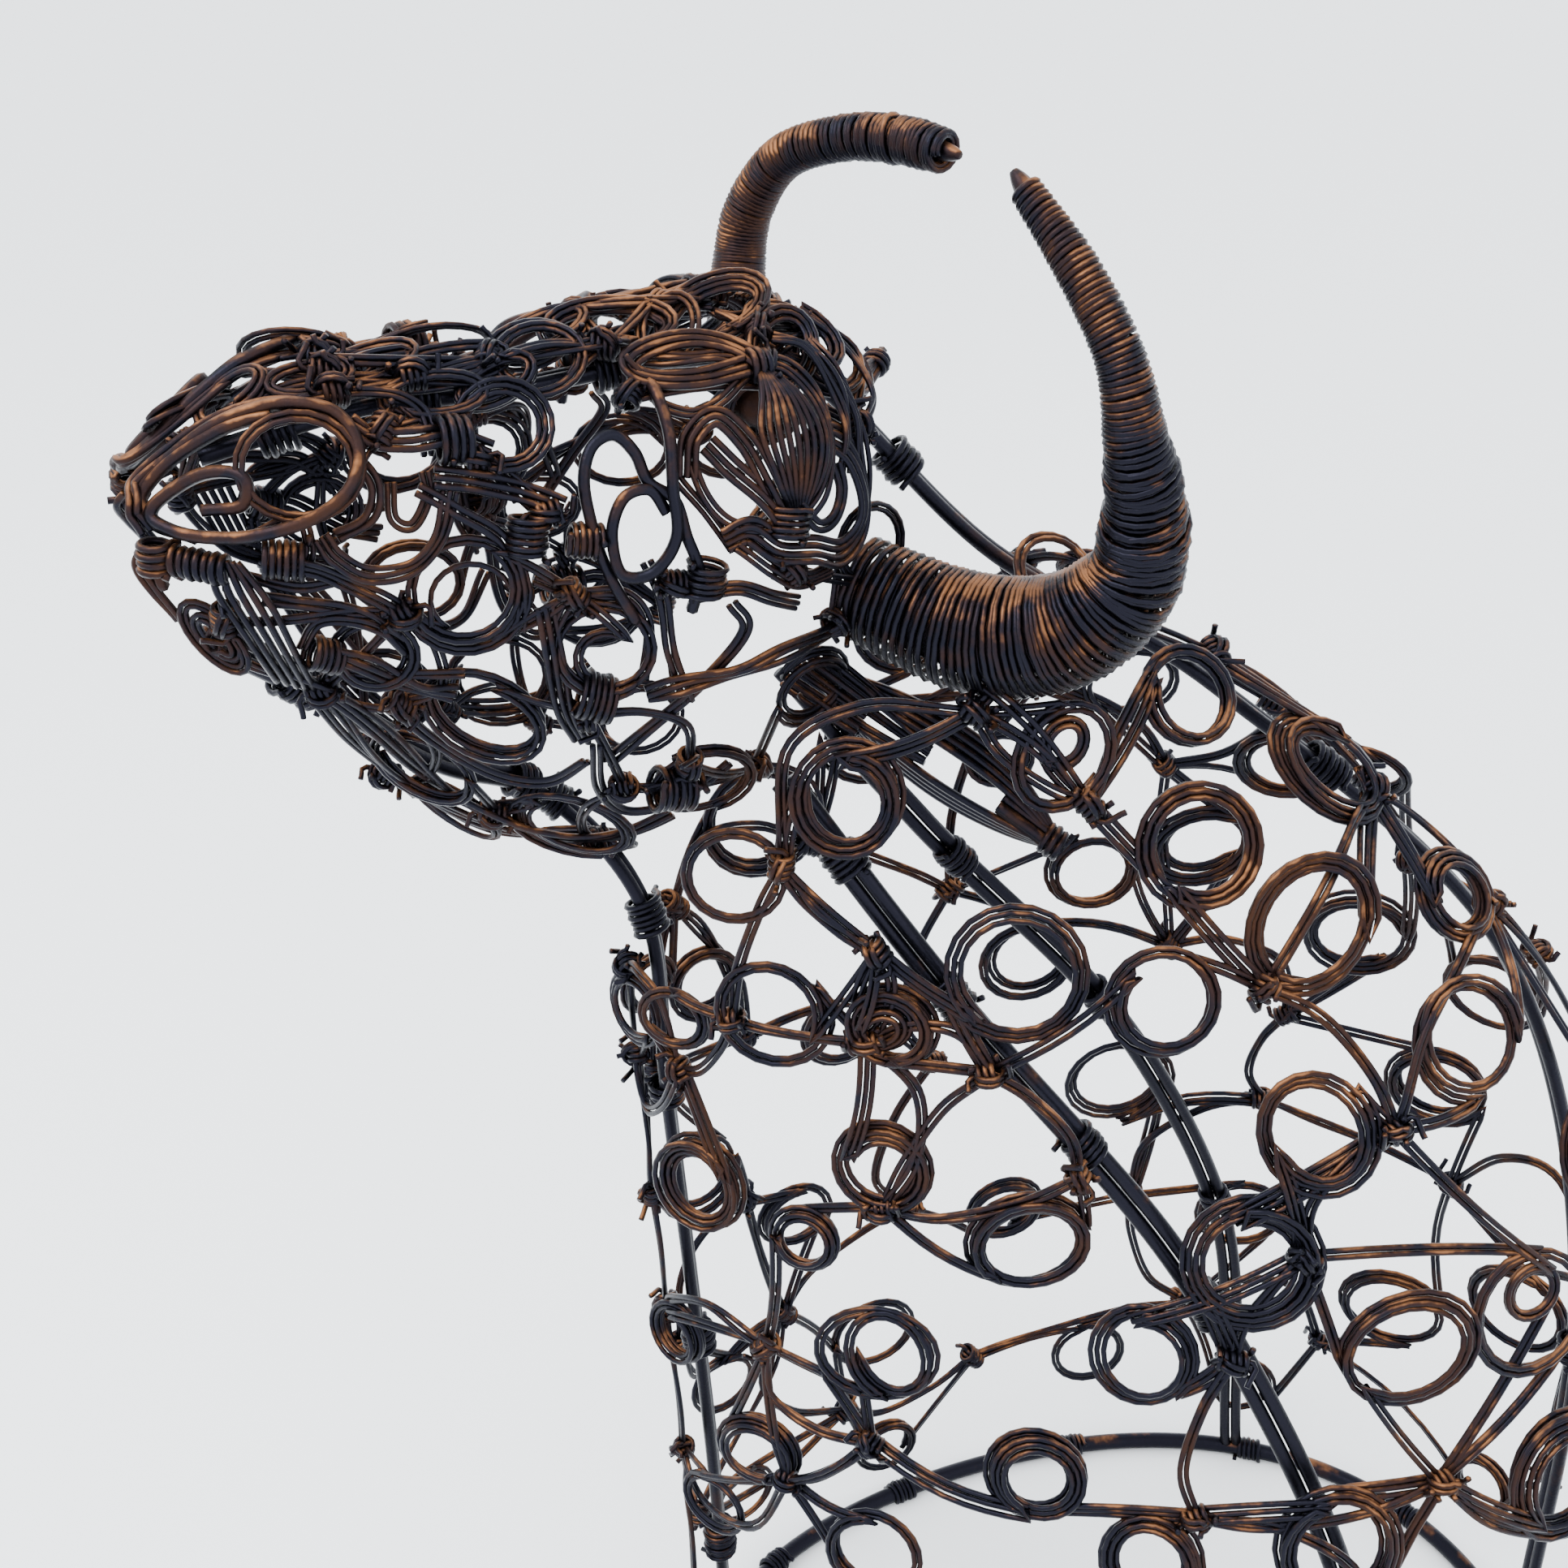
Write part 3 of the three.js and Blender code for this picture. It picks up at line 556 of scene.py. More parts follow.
EYE_LINES = (
    ("thick", 1, (
        (0.425, 0.1, 2), (0.42, 0.13, 4), (0.41, 0.18, 4), (0.405, 0.24, 4), (0.395, 0.295, 4),
        (0.415, 0.335, 3.5), (0.45, 0.34, 3.5), (0.47, 0.295, 3.5), (0.46, 0.255, 3), (0.43, 0.245, 3),
        (0.407, 0.27, 2.5))),
    ("thick", 1, (
        (0.415, 0.4, 1), (0.46, 0.35, 2), (0.49, 0.3, 2.5), (0.51, 0.24, 3), (0.503, 0.195, 3),
        (0.475, 0.178, 3), (0.45, 0.2, 3), (0.432, 0.235, 2.5), (0.4, 0.255, 2.5), (0.38, 0.295, 2),
        (0.355, 0.335, 1.5), (0.35, 0.38, 0))),
    ("stout", 3, (
        (0.285, 0.095, 3), (0.31, 0.07, 3), (0.355, 0.05, 3), (0.405, 0.053, 3), (0.44, 0.07, 2.5),
        (0.435, 0.095, 2.5), (0.4, 0.108, 2.5), (0.35, 0.108, 2.5), (0.3, 0.1, 3))),
    ("fine", 3, ((0.29, 0.09, 2), (0.33, 0.08, 2.5), (0.38, 0.075, 2), (0.42, 0.06, 1))),
    ("fine", 2, ((0.42, 0.12, 1), (0.41, 0.138, 1), (0.375, 0.152, 1.5), (0.34, 0.14, 2), (0.31, 0.115, 2),
                 (0.285, 0.095, 2))),
    ("stout", 3, (
        (0.385, 0.23, 1), (0.382, 0.185, 2), (0.35, 0.16, 2.5), (0.315, 0.19, 2.5), (0.285, 0.235, 2.5),
        (0.26, 0.27, 2))),
    ("fine", 2, ((0.375, 0.17, 1), (0.382, 0.2, 1), (0.365, 0.245, 1.5), (0.335, 0.275, 2), (0.295, 0.285, 2),
                 (0.25, 0.28, 2))),
    ("stout", 3, ((0.36, 0.19, 1), (0.33, 0.22, 1.5), (0.29, 0.25, 2), (0.26, 0.275, 2))),
    ("fine", 2, ((0.4, 0.2, 0), (0.395, 0.23, 0), (0.355, 0.27, 0), (0.315, 0.31, 0))),
    ("stout", 4, (
        (0.24, 0.2, 2), (0.205, 0.182, 3), (0.165, 0.195, 3), (0.135, 0.24, 3), (0.135, 0.28, 3),
        (0.165, 0.308, 3), (0.21, 0.305, 3), (0.26, 0.305, 2.5), (0.3, 0.288, 2), (0.33, 0.3, 1))),
    ("stout", 2, ((0.24, 0.26, 2), (0.21, 0.28, 3), (0.185, 0.27, 3), (0.178, 0.24, 3), (0.185, 0.21, 2))),
    ("fine", 4, ((0.31, 0.3, 1), (0.26, 0.325, 2), (0.21, 0.34, 1.5), (0.16, 0.33, 1))),
    ("fine", 3, ((0.35, 0.36, 1), (0.3, 0.35, 1), (0.25, 0.36, 1), (0.2, 0.37, 0))),
    ("stout", 3, ((0.12, 0.41, 1), (0.2, 0.42, 2), (0.26, 0.44, 2), (0.32, 0.46, 1.5), (0.37, 0.485, 1))),
    ("fine", 3, (
        (0.29, 0.09, 2), (0.25, 0.1, 3), (0.22, 0.14, 4), (0.205, 0.19, 4), (0.21, 0.24, 3), (0.23, 0.27, 2))),
    ("fine", 3, ((0.25, 0.05, 2), (0.215, 0.07, 4), (0.19, 0.12, 4.5), (0.175, 0.17, 4), (0.17, 0.22, 2))),
    ("fine", 3, ((0.2, 0.05, 3), (0.18, 0.1, 4), (0.155, 0.15, 4), (0.14, 0.2, 3), (0.12, 0.26, 2))),
    ("fine", 2, ((0.24, 0.0, 3), (0.19, 0.0, 4), (0.13, 0.04, 4), (0.11, 0.1, 4), (0.13, 0.15, 3))),
    ("stout", 2, ((0.42, 0.33, 0), (0.39, 0.37, 0), (0.36, 0.43, 0), (0.31, 0.49, 0))),
    ("stout", 2, ((0.3, 0.37, 0), (0.27, 0.4, 0), (0.3, 0.46, 0), (0.34, 0.53, 0), (0.37, 0.6, 0))),
)
JAW_LINES = (
    ("stout", 3, ((0.82, 0.64, 1), (0.74, 0.66, 1.5), (0.66, 0.7, 1.5), (0.58, 0.76, 1), (0.5, 0.8, 1))),
    ("fine", 4, ((0.76, 0.68, 1), (0.68, 0.76, 2), (0.58, 0.83, 2), (0.46, 0.87, 2), (0.36, 0.88, 1))),
    ("stout", 3, ((0.53, 0.8, 1), (0.44, 0.79, 2), (0.34, 0.78, 2), (0.26, 0.76, 1), (0.2, 0.72, 0))),
    ("stout", 2, ((0.68, 0.62, 1), (0.6, 0.66, 1.5), (0.5, 0.68, 1.5), (0.43, 0.66, 1), (0.4, 0.6, 1))),
    ("stout", 3, ((0.53, 0.4, 1), (0.5, 0.46, 1.5), (0.46, 0.53, 1.5), (0.42, 0.57, 1))),
    ("stout", 2, ((0.4, 0.57, 1), (0.36, 0.64, 1), (0.3, 0.68, 1), (0.24, 0.66, 1), (0.18, 0.6, 0))),
    ("fine", 2, ((0.55, 0.37, 0), (0.5, 0.38, 0), (0.44, 0.37, 0), (0.4, 0.4, 0), (0.38, 0.47, 0))),
)
# Bindings of the face: place, gauge, radius, turns, and whether they run across the head
FACE_WRAPS = (
    ((0.665, 0.17), "stout", 4.2, 4, False), ((0.975, 0.43), "stout", 3.0, 4, True),
    ((0.935, 0.425), "stout", 2.4, 7, False), ((0.855, 0.385), "fine", 3.2, 6, False),
    ((0.285, 0.095), "stout", 3.0, 3, False), ((0.25, 0.28), "fine", 3.8, 5, True),
    ((0.43, 0.5), "fine", 4.6, 6, False), ((0.57, 0.31), "fine", 3.6, 6, True),
    ((0.78, 0.56), "fine", 3.0, 5, False), ((0.26, 0.62), "stout", 4.4, 6, False),
    ((0.345, 0.34), "fine", 3.6, 5, True), ((0.5, 0.31), "fine", 3.0, 5, False),
)
TOP_LOOPS = (
    (0.545, 0.02, 9, 8, 0, 2.2, 2), (0.66, 0.0, 13, 4, 0, 2.1, 2), (0.82, 0.02, 7, 3.5, 0, 2.2, 2),
    (0.74, -0.03, 9, 4, 10, 2.1, 2), (0.44, -0.03, 12, 6, -20, 2.3, 3), (0.3, -0.02, 12, 7, 20, 2.2, 3),
    (0.2, 0.02, 10, 7, -30, 2.2, 3), (0.1, 0.0, 9, 8, 0, 2.1, 2), (0.52, -0.06, 10, 5, 10, 2.1, 2),
    (0.37, 0.0, 9, 5, 60, 2.1, 2), (0.9, -0.02, 7, 4, 0, 2.1, 2), (0.6, 0.06, 8, 4, 20, 2.1, 2),
    (0.24, -0.08, 9, 6, 40, 2.1, 2),
)
TOP_KNOTS = ((0.6, 0.0), (0.8, 0.0), (0.46, 0.02), (0.36, -0.06), (0.26, 0.03), (0.16, -0.03), (0.7, 0.03))

HORN_NEAR = (
    (28, 4, -16), (50, -10, -11), (64, -20, 0), (69, -25, 16), (68, -20, 32),
    (65, -12, 45), (58, -6, 57), (45, 0, 66), (29, 6, 73),
)
HORN_NEAR_RADII = (11, 12.5, 12, 9.8, 7.6, 6.0, 4.8, 4.3, 3.2)
HORN_FAR = (
    (28, 2, -10), (49, -2, -7), (61, -3, -1), (68, -3, 8), (70, -2, 20),
    (65, -3, 35), (51, -7, 47), (37, -11, 54), (24, -14, 58),
)
HORN_FAR_RADII = (9.5, 9, 7.5, 6.4, 5.8, 5.2, 5, 5, 4.6)
EAR_NEAR = ((33, 1, -40), (51, -13, -42), (66, -26, -44), (79, -36, -46))
EAR_FAR = ((28, -8, -34), (41, -24, -28), (56, -40, -20), (70, -54, -13))

SIDE_ROD = ((0, 0.36), (0.2, 0.39), (0.4, 0.44), (0.6, 0.48), (0.8, 0.5), (0.97, 0.5))
NECK_LINE = (0.0, 0.25, 0.5, 0.75, 0.96)
JAW_LINE = (0.3, 0.5, 0.7, 0.88)
CREST_LINE = (0.0, 0.25, 0.5, 0.75, 0.93)
NOSE_LINE = (0.14, 0.34, 0.55, 0.75, 0.93)


# ---------------------------------------------------------------- pieces

def loop(work, form, place, side, halves, lean, turns, strands, knots, wire):
    """A wound loop: an ellipse about its middle, entered and left along its tangents."""
    station, around = place
    middle = form(station, around, side)
    along, across, outward = axes_at(form, station, around, side)
    outward = unit(outward + np.array((0.45 * side, 0.0, 0.1)))
    along = unit(along - outward * np.dot(along, outward))
    across = np.cross(outward, along)
    lean = math.radians(lean)
    first = along * math.cos(lean) + across * math.sin(lean)
    second = across * math.cos(lean) - along * math.sin(lean)
    reach = np.mean(halves)
    ends = [knot for knot in knots if np.linalg.norm(knot - middle) > reach * 1.05]
    ends.sort(key=lambda knot: np.linalg.norm(knot - middle))
    ends = ends[:2]
    way = work.random.choice((-1, 1))

    def bearing(knot, hand):
        flat = np.array((np.dot(knot - middle, first), np.dot(knot - middle, second)))
        away = max(np.linalg.norm(flat), reach * 1.01)
        return math.atan2(flat[1] / halves[1], flat[0] / halves[0]) + hand * math.acos(reach / away)

    start = bearing(ends[0], -way)
    finish = bearing(ends[1], way)
    sweep = (finish - start) * way % TURN + TURN * int(turns - 0.5)
    count = max(int(22 * sweep / TURN), 16)
    u = np.linspace(0, 1, count)[:, None]
    angle = start + way * sweep * u
    swell = 1 + 0.07 * np.sin(angle * 0.5 + work.random.uniform(0, TURN)) - 0.05 * u * sweep / TURN
    slip = (first * work.random.uniform(-1, 1) + second * work.random.uniform(-1, 1)) * (u - 0.5) * 1.6
    lift = wire * 2.0 * (u - 0.5) * sweep / TURN + 0.8
    points = middle + slip + outward * lift
    points = points + swell * (first * halves[0] * np.cos(angle) + second * halves[1] * np.sin(angle))
    entry = tail_to(work, ends[0], points[0], outward)
    leave = tail_to(work, ends[1], points[-1], outward)[::-1]
    path = np.concatenate([entry[:-1], points, leave[1:]])
    work.bundle(path, outward, strands, wire)


def tail_to(work, knot, point, outward):
    """A slightly bowed run from a knot to the loop that it feeds."""
    u = np.linspace(0, 1, 9)[:, None]
    bow = 0.06 * np.linalg.norm(point - knot) * work.random.uniform(-1, 1)
    side = unit(np.cross(point - knot, outward))
    return knot * (1 - u) + point * u + (side * bow + outward * abs(bow)) * np.sin(math.pi * u)


def knot_points(form, knots, side):
    return [form(station, around, side) for station, around in knots]


def binding(work, form, place, side, wire):
    """A gathered knot: two crossed bindings with stubs, lying on the surface."""
    station, around = place
    middle = form(station, around, side)
    along, across, outward = axes_at(form, station, around, side)
    lean = work.random.uniform(0, math.pi)
    axis = along * math.cos(lean) + across * math.sin(lean)
    turns = work.random.integers(3, 6)
    work.coil(middle + outward * 0.6, axis, outward, 2.3, wire, turns)
    other = along * math.cos(lean + 1.3) + across * math.sin(lean + 1.3)
    work.coil(middle + outward * 1.2, other, outward, 2.9, wire, 2)
    for hand in (-1, 1):
        stub = middle + outward * 2.4 + axis * hand * 4.4
        reach = other * work.random.uniform(-2.6, 2.6) + outward * 1.4
        line = smooth([middle, stub - reach * 0.4, stub + reach, stub + reach * 1.5], 8)
        work.wire(line, outward, wire)


def carried_runs(work, form, knots, side, strands, wire, longest):
    """Bowed runs of wire from each knot to its nearest neighbours."""
    points = knot_points(form, knots, side)
    done = set()
    for i, point in enumerate(points):
        order = sorted(range(len(points)), key=lambda j: np.linalg.norm(points[j] - point))
        for j in order[1:3]:
            pair = (min(i, j), max(i, j))
            if pair in done or np.linalg.norm(points[j] - point) > longest:
                continue
            done.add(pair)
            one, two = np.array(knots[i]), np.array(knots[j])
            bow = np.array((-(two - one)[1], (two - one)[0])) * work.random.uniform(-0.3, 0.3)
            rows = [one, one * 0.7 + two * 0.3 + bow * 0.8, one * 0.3 + two * 0.7 + bow, two]
            line, outward = on_form(form, [tuple(row) + (0.8,) for row in rows], side, 22)
            work.bundle(line, outward, strands, wire)


def rod_pair(work, line, facing, rod, sides=10):
    """Two rods lying side by side along one line."""
    heading = unit(np.gradient(line, axis=0))
    beside = unit(np.cross(facing, heading))
    for hand in (-1, 1):
        work.wire(line + beside * hand * ROD_SPACING, facing, rod / 2, sides)


def rod_line(name):
    """The middle line of an armature rod and the way that its pair is spread."""
    if name in ("near", "far"):
        side = 1 if name == "near" else -1
        line, outward = on_form(neck, SIDE_ROD, side, 90, ROD_INSET)
        line[:, 2] = np.maximum(line[:, 2], HOOP_HEIGHT)
        return line, outward
    edge, station_lists = (1.0, (NECK_LINE, JAW_LINE)) if name == "throat" else (
        0.0, (CREST_LINE, NOSE_LINE))
    lower = neck(np.array(station_lists[0]), edge, 1, ROD_INSET)
    upper = head(np.array(station_lists[1]), edge, 1, ROD_INSET)
    points = np.concatenate([lower, upper])
    points[:, 2] = np.maximum(points[:, 2], HOOP_HEIGHT)
    line = smooth(points, 150)
    heading = unit(np.gradient(line, axis=0))
    return line, unit(np.cross(np.array((1.0, 0.0, 0.0)), heading))


def rod_coils(work, line, places, wire, reach):
    """Bindings wound round a pair of rods at places along them."""
    for place in places:
        index = int(place * (len(line) - 1))
        heading = unit(line[min(index + 1, len(line) - 1)] - line[index - 1])
        outward = unit(np.cross(heading, (1.0, 0.3, 0.2)))
        turns = work.random.integers(4, 8)
        work.coil(line[index], heading, outward, reach, wire, turns)


def horn_winding(work, line, radii, side, wire, loose, turns):
    """Wire wound round a horn: a helix that follows its girth, each turn a little different."""
    line = in_head(*(np.array(line, float).T * np.array((side, 1, 1))[:, None]))
    count = 16 * turns
    place = np.linspace(0, 1, count)
    middle = smooth(line, count)
    heading = unit(np.gradient(middle, axis=0))
    outward = unit(np.cross(heading, UP + 0.3 * FRONT))
    sideways = np.cross(heading, outward)
    angle = (TURN * turns * place)[:, None]
    reach = spline(radii, place)[:, None] - wire
    each = np.arange(turns + 2)
    swell = np.interp(turns * place, each, work.random.normal(0, 1, turns + 2))[:, None]
    skew = np.interp(turns * place, each, work.random.normal(0, 1, turns + 2))[:, None]
    slack = np.exp(-((place - loose) / 0.11) ** 2)[:, None]
    reach = reach * (1 + (0.012 + 0.055 * slack) * np.abs(swell) + 0.03 * slack)
    slant = (0.25 + 0.9 * slack) * skew * np.sin(angle + skew) * reach * 0.16
    shift = (0.2 + 1.1 * slack) * swell * wire
    radial = outward * np.cos(angle) + sideways * np.sin(angle)
    work.wire(middle + radial * reach + heading * (slant + shift), radial, wire)
    return middle, heading, outward


class WIREBULL_OT_hoop(bpy.types.Operator):
    """The base hoop: a bent rod round the flat cut, bound to the armature"""
    bl_idname = "wire_bull.hoop"
    bl_label = "Base hoop"

    def execute(self, context):
        sizes = settings()
        work = Wirework(3)
        around = np.linspace(0, 2, 181)[:-1]
        side = np.where(around < 1, 1, -1)
        half_way = np.where(around < 1, around, 2 - around)
        line = neck(0.0, half_way, side, ROD_INSET)
        line[:, 2] = HOOP_HEIGHT / 2
        hoop = np.concatenate([line, line[:2]])
        work.wire(hoop, (0.0, 0.0, 1.0), HOOP_HEIGHT / 2, 12)
        strand = sizes.strand / MM / 2
        for index in np.linspace(0, 179, 13).astype(int)[:-1]:
            heading = unit(hoop[index + 1] - hoop[index])
            work.coil(line[index], heading, np.array((0.0, 0.0, 1.0)), 3.0, strand, 5)
        work.mesh("base_hoop_rod", "rod", ("base_hoop",), finish_for("rod"))
        return {"FINISHED"}


class WIREBULL_OT_rods(bpy.types.Operator):
    """The armature: doubled rods up the throat, the crest and both sides of the neck"""
    bl_idname = "wire_bull.rods"
    bl_label = "Armature rods"

    def execute(self, context):
        rod = settings().rod / MM
        strand = settings().strand / MM / 2
        named = {"throat": "throat_rod", "spine": "spine_rod", "near": "side_rod_near",
                 "far": "side_rod_far"}
        places = {"throat": (0.08, 0.22, 0.38, 0.5, 0.62, 0.66, 0.9), "spine": (0.1, 0.3, 0.5, 0.72, 0.85, 0.95),
                  "near": (0.2, 0.45, 0.6, 0.75, 0.9), "far": (0.25, 0.5, 0.7, 0.88)}
        for seed, (name, node) in enumerate(named.items()):
            work = Wirework(20 + seed)
            line, facing = rod_line(name)
            rod_pair(work, line, facing, rod)
            rod_coils(work, line, places[name], strand, 3.9)
            work.mesh(node + "_pair", "rod", (node,), finish_for("rod"))
        return {"FINISHED"}


class WIREBULL_OT_neck(bpy.types.Operator):
    """The neck's looped wire, near side and far side"""
    bl_idname = "wire_bull.neck"
    bl_label = "Neck loops"

    def execute(self, context):
        strand = settings().strand / MM / 2
        layouts = (
            ("near", 1, NECK_RINGS_NEAR, NECK_KNOTS_NEAR),
            ("far", -1, NECK_RINGS_FAR, NECK_KNOTS_FAR),
        )
        for name, side, rings, knots in layouts:
            work = Wirework(40 + side)
            ends = knot_points(neck, knots, side)
            for station, around, half, width, lean, strands in rings:
                turns = work.random.choice((1.5, 2.1, 2.6))
                loop(work, neck, (station, around), side, (half, width), lean, turns, strands,
                     ends, strand)
            for place in knots:
                binding(work, neck, place, side, strand)
            carried_runs(work, neck, knots, side, 2, strand, 75)
            node = "neck_loops_" + name
            work.mesh("neck_wire_" + name, "wire", (node,), finish_for("wire"))
        return {"FINISHED"}


class WIREBULL_OT_face(bpy.types.Operator):
    """The face's looped wire with nostril, eye, lips and jaw, on both sides and along the brow"""
    bl_idname = "wire_bull.face"
    bl_label = "Face loops"

    def execute(self, context):
        strand = settings().face_strand / MM / 2
        thick = settings().thick / MM / 2
        for name, side, loops in (("near", 1, FACE_LOOPS_NEAR), ("far", -1, FACE_LOOPS_FAR)):
            work = Wirework(60 + side)
            ends = knot_points(head, FACE_KNOTS, side)
            for station, around, half, width, lean, turns, strands in loops:
                loop(work, head, (station, around), side, (half, width), lean, turns, strands,
                     ends, strand)
            for place in FACE_KNOTS:
                binding(work, head, place, side, strand)
            cheek = [place for place in FACE_KNOTS if place[1] > 0.35]
            carried_runs(work, head, cheek, side, 2, strand, 40)
            face_features(work, side, strand, thick)
            work.mesh("face_wire_" + name, "wire", ("face_loops_" + name,), finish_for("wire"))
        work = Wirework(70)
        ends = knot_points(head, TOP_KNOTS, 1)
        for station, around, half, width, lean, turns, strands in TOP_LOOPS:
            loop(work, head, (station, around), 1, (half, width), lean, turns, strands, ends, strand)
        for place in TOP_KNOTS:
            binding(work, head, place, 1, strand)
        work.mesh("brow_wire", "wire", ("brow_and_nose_loops",), finish_for("wire"))
        return {"FINISHED"}


def draw(work, form, side, lines, sizes):
    """Bent wires drawn on a form from rows of station, way round and lift."""
    for gauge, strands, rows in lines:
        line, outward = on_form(form, rows, side, 14 * len(rows))
        work.bundle(line, outward, strands, sizes[gauge], 1.04, 0.35)


def face_features(work, side, strand, thick):
    """Nostril, eye hook, eyelids, fan, lips and the lines of the jaw."""
    sizes = {"fine": strand, "stout": strand * 1.25, "thick": thick}
    draw(work, head, side, MUZZLE_LINES + EYE_LINES + JAW_LINES, sizes)
    for k in range(8):
        spread = 0.011 * (k - 3.5)
        fan = ((0.285, 0.095, 2), (0.27 - spread * 0.6, 0.14, 4.5), (0.26 - spread, 0.185, 4.5),
               (0.25 - spread * 0.7, 0.23, 3.5), (0.24 - spread * 0.2, 0.27, 1.5))
        line, outward = on_form(head, fan, side, 40)
        work.wire(line, outward, strand * 1.1)
    for k in range(5):
        shift = 0.013 * (k - 2)
        line, outward = on_form(head, (
            (0.91 + shift * 0.4, 0.4, 2), (0.885 + shift, 0.47, 3), (0.845 + shift, 0.56, 2.5),
            (0.795 + shift, 0.66, 1.5)), side, 30)
        work.wire(line, outward, strand * 1.15)
    for place, wire, radius, turns, crosswise in FACE_WRAPS:
        middle = head(*place, side)
        along, across, outward = axes_at(head, *place, side)
        axis = across if crosswise else along
        work.coil(middle + outward * 1.5, axis, outward, radius, sizes[wire], turns)


class WIREBULL_OT_horns(bpy.types.Operator):
    """The horns: iron wire wound close round a thin core"""
    bl_idname = "wire_bull.horns"
    bl_label = "Wound horns"

    def execute(self, context):
        strand = settings().strand / MM / 2
        for name, side, line, radii, loose, turns in (
                ("near", 1, HORN_NEAR, HORN_NEAR_RADII, 0.5, 112),
                ("far", -1, HORN_FAR, HORN_FAR_RADII, 0.9, 104)):
            work = Wirework(80 + side)
            middle, heading, outward = horn_winding(work, line, radii, side, strand, loose, turns)
            inner = [radius * 0.84 for radius in radii]
            horn_winding(work, line, inner, side, strand, loose, int(turns * 0.5))
            place = np.linspace(0, 1, 60)
            open_part = 1 - 0.55 * np.exp(-((place - loose) / 0.16) ** 2)
            core = np.maximum(spline(radii, place) * 0.66 * open_part, 1.0)
            core[[0, -1]] *= 0.5
            index = np.linspace(0, len(middle) - 1, 60).astype(int)
            work.wire(middle[index], outward[index], core, 12)
            tip = middle[-1]
            end = heading[-1]
            finger = smooth([tip - end * 2, tip + end * 2, tip + end * 4], 8)
            work.wire(finger, outward[-1], np.linspace(2.4, 0.9, 8), 8)
            work.mesh("horn_winding_" + name, "horn_wire", ("horn_" + name,), finish_for("horn_wire"))
        return {"FINISHED"}


class WIREBULL_OT_ears(bpy.types.Operator):
    """The ears: leaves of looped wire drawn together into a bound tip"""
    bl_idname = "wire_bull.ears"
    bl_label = "Ears"

    def execute(self, context):
        strand = settings().strand / MM / 2
        for name, side, line in (("near", 1, EAR_NEAR), ("far", -1, EAR_FAR)):
            work = Wirework(90 + side)
            middle = in_head(*(np.array(line, float).T * np.array((side, 1, 1))[:, None]))
            middle = smooth(middle, 40)
            u = np.linspace(0, 1, 40)[:, None]
            outward = np.cross(unit(np.gradient(middle, axis=0)), UP)
            leaf = np.sin(math.pi * np.clip(u * 0.93 + 0.1, 0, 1)) ** 0.8
            for k in range(4):
                for hand in (-1, 1):
                    width = (9.0 - 1.5 * k) * leaf * hand
                    cup = outward * (0.9 * k - 2) * leaf
                    work.wire(middle + UP * width + cup, outward, strand * 1.25)
            for k in range(8):
                deep = outward[5]
                shift = UP * (k - 3.5) * 1.6 + deep * work.random.uniform(-2, 2)
                back = middle[0] - (middle[6] - middle[0]) * work.random.uniform(0.2, 0.9)
                bend = smooth([middle[14] + shift * 0.5, middle[5] + shift, back + shift * 1.2,
                               back + shift * 1.2 + deep * 2, middle[5] + shift + deep * 2], 18)
                work.wire(bend, UP, strand)
            for k in range(4):
                angle = TURN * k / 4
                offset = (UP * math.cos(angle) + outward[-1] * math.sin(angle)) * 1.5
                work.wire(middle[26:] + offset, UP, strand * 1.9)
            end = middle[-3]
            work.coil(end, middle[-1] - middle[-4], UP, 3.0, strand * 1.1, 3)
            work.mesh("ear_wire_" + name, "wire", ("ear_" + name,), finish_for("wire"))
        return {"FINISHED"}


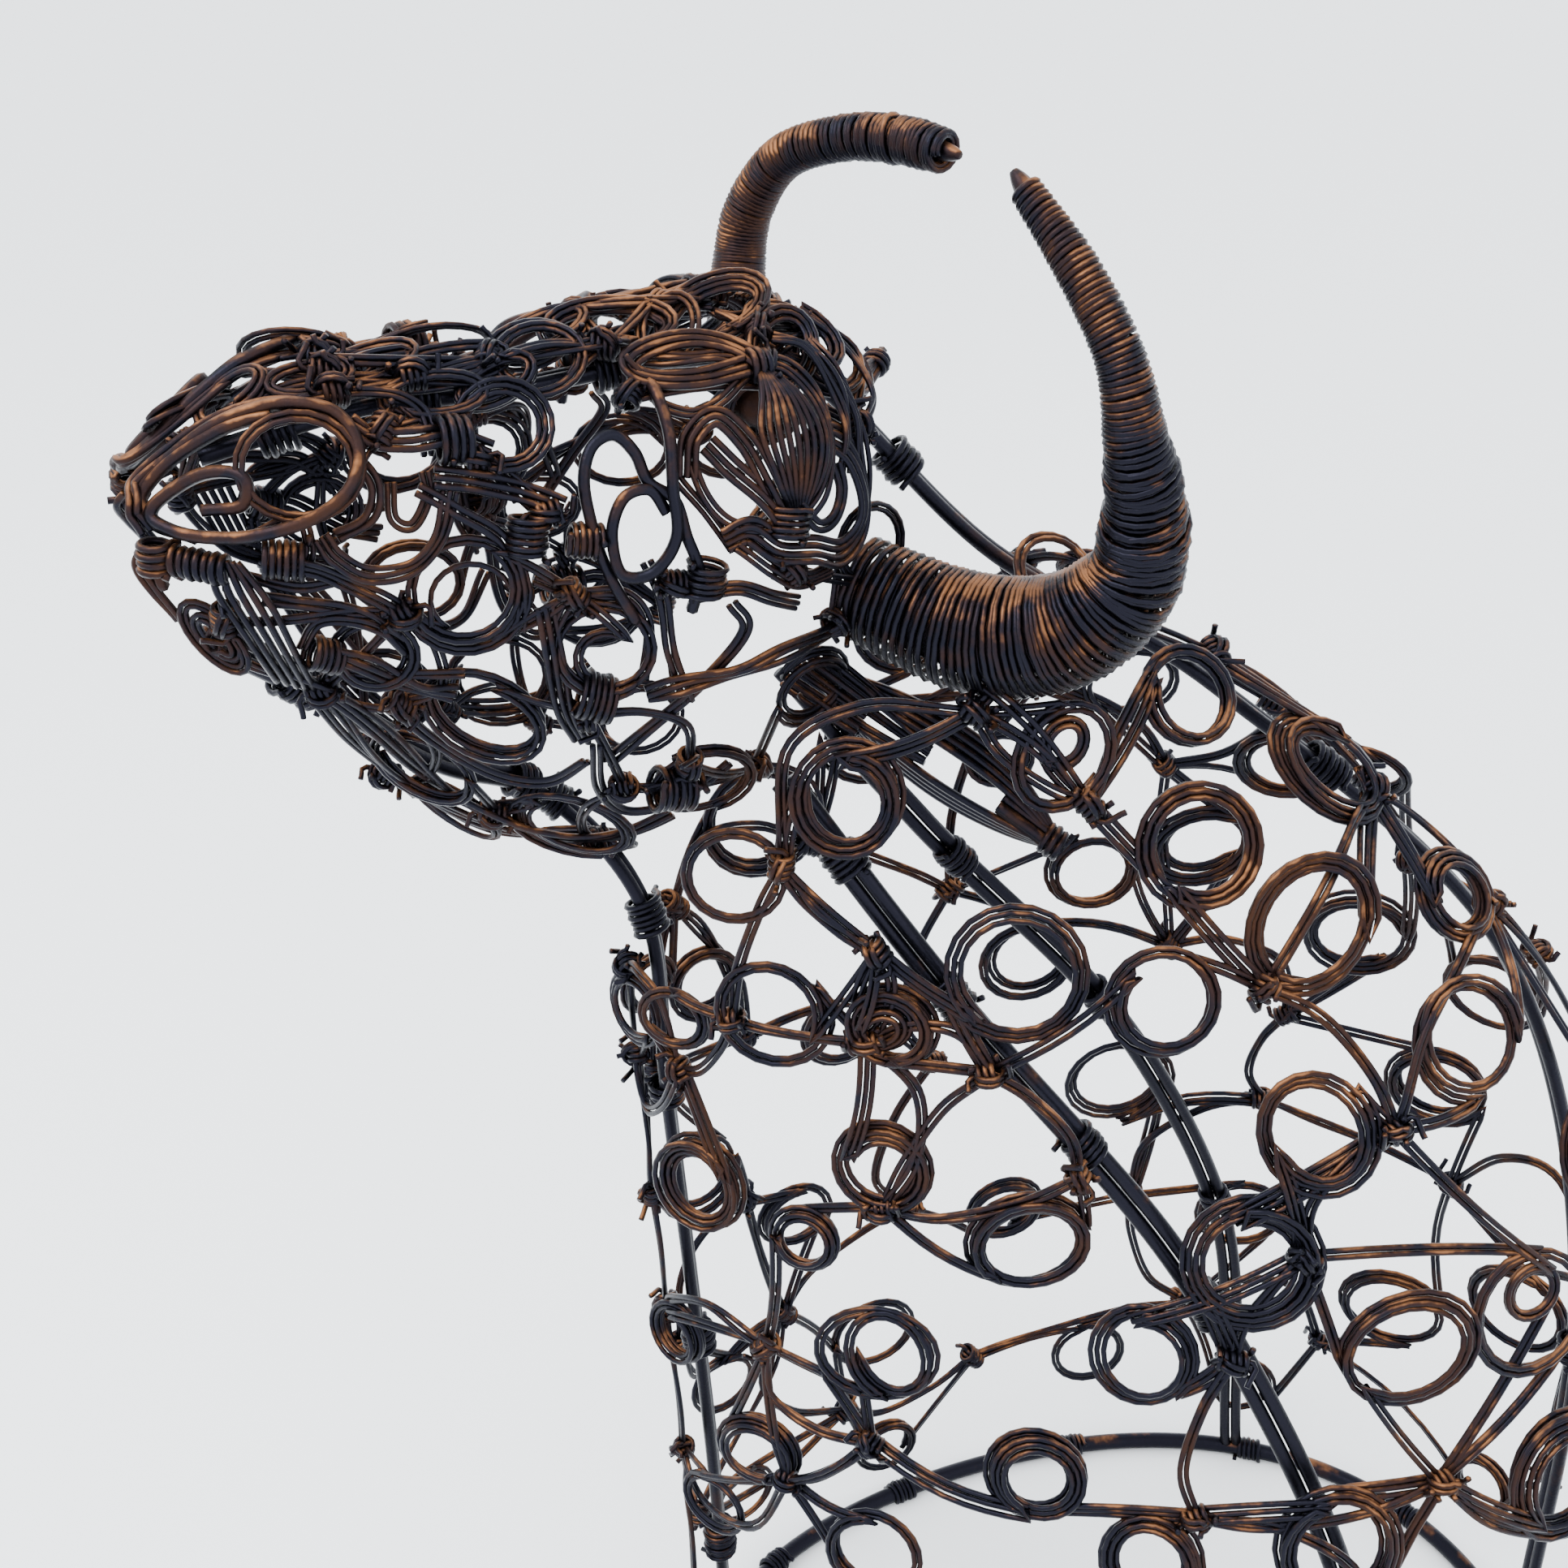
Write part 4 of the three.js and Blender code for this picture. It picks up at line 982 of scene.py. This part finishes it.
class WIREBULL_OT_stage(bpy.types.Operator):
    """The floor, the lights and the camera"""
    bl_idname = "wire_bull.stage"
    bl_label = "Stage"

    def execute(self, context):
        scene = context.scene
        target = np.array((0.0, -40.0, 277.0)) * MM + SHIFT
        elevation = math.radians(25)
        back = np.array((math.cos(elevation), 0.0, math.sin(elevation)))
        lens = bpy.data.cameras.new("camera")
        lens.angle = math.radians(45)
        lens.clip_start = 0.01
        camera = bpy.data.objects.new("camera", lens)
        camera.location = target + back * 0.430
        camera.rotation_euler = (math.radians(90 - 25), 0, math.radians(90))
        scene.collection.objects.link(camera)
        scene.camera = camera
        floor = bpy.data.meshes.new("floor")
        reach = 40.0
        floor.from_pydata(
            [(-reach, -reach, 0), (reach, -reach, 0), (reach, reach, 0), (-reach, reach, 0)], [],
            [(0, 1, 2, 3)])
        ground = bpy.data.objects.new("floor", floor)
        scene.collection.objects.link(ground)
        matte = bpy.data.materials.new("floor_paint")
        matte.use_nodes = True
        paint = matte.node_tree.nodes["Principled BSDF"]
        paint.inputs["Base Color"].default_value = tuple(settings().floor)
        paint.inputs["Roughness"].default_value = 0.9
        floor.materials.append(matte)
        world = bpy.data.worlds.new("studio")
        world.use_nodes = True
        sky = world.node_tree.nodes["Background"]
        sky.inputs["Color"].default_value = (0.93, 0.96, 1.0, 1)
        sky.inputs["Strength"].default_value = 3.0
        scene.world = world
        for name, place, size, power in (
                ("key", (0.5, -0.7, 1.5), 0.9, 26),
                ("fill", (1.2, 0.9, 0.9), 1.2, 6)):
            lamp = bpy.data.lights.new(name, "AREA")
            lamp.size = size
            lamp.energy = power
            light = bpy.data.objects.new(name, lamp)
            light.location = place
            aim = np.array((0.0, 0.0, 0.25)) - np.array(place)
            flat = math.hypot(aim[0], aim[1])
            light.rotation_euler = (math.atan2(flat, -aim[2]), 0, math.atan2(aim[1], aim[0]) - math.pi / 2)
            scene.collection.objects.link(light)
        return {"FINISHED"}


class WIREBULL_PT_panel(bpy.types.Panel):
    bl_label = "Wire Bull"
    bl_idname = "WIREBULL_PT_panel"
    bl_space_type = "VIEW_3D"
    bl_region_type = "UI"
    bl_category = "Wire Bull"

    def draw(self, context):
        sizes = settings()
        for name in sizes.bl_rna.properties.keys():
            if name not in ("rna_type", "name"):
                self.layout.prop(sizes, name)
        for step in STEPS:
            self.layout.operator(step.bl_idname)


STEPS = (
    WIREBULL_OT_stage, WIREBULL_OT_hoop, WIREBULL_OT_rods, WIREBULL_OT_neck, WIREBULL_OT_face,
    WIREBULL_OT_horns, WIREBULL_OT_ears,
)
CLASSES = (WireSettings, *STEPS, WIREBULL_PT_panel)


def register():
    for kind in CLASSES:
        bpy.utils.register_class(kind)
    bpy.types.Scene.wire_bull = bpy.props.PointerProperty(type=WireSettings)


def unregister():
    del bpy.types.Scene.wire_bull
    for kind in reversed(CLASSES):
        bpy.utils.unregister_class(kind)


def main():
    register()
    for step in STEPS:
        group, name = step.bl_idname.split(".")
        getattr(getattr(bpy.ops, group), name)()


if __name__ == "__main__":
    main()
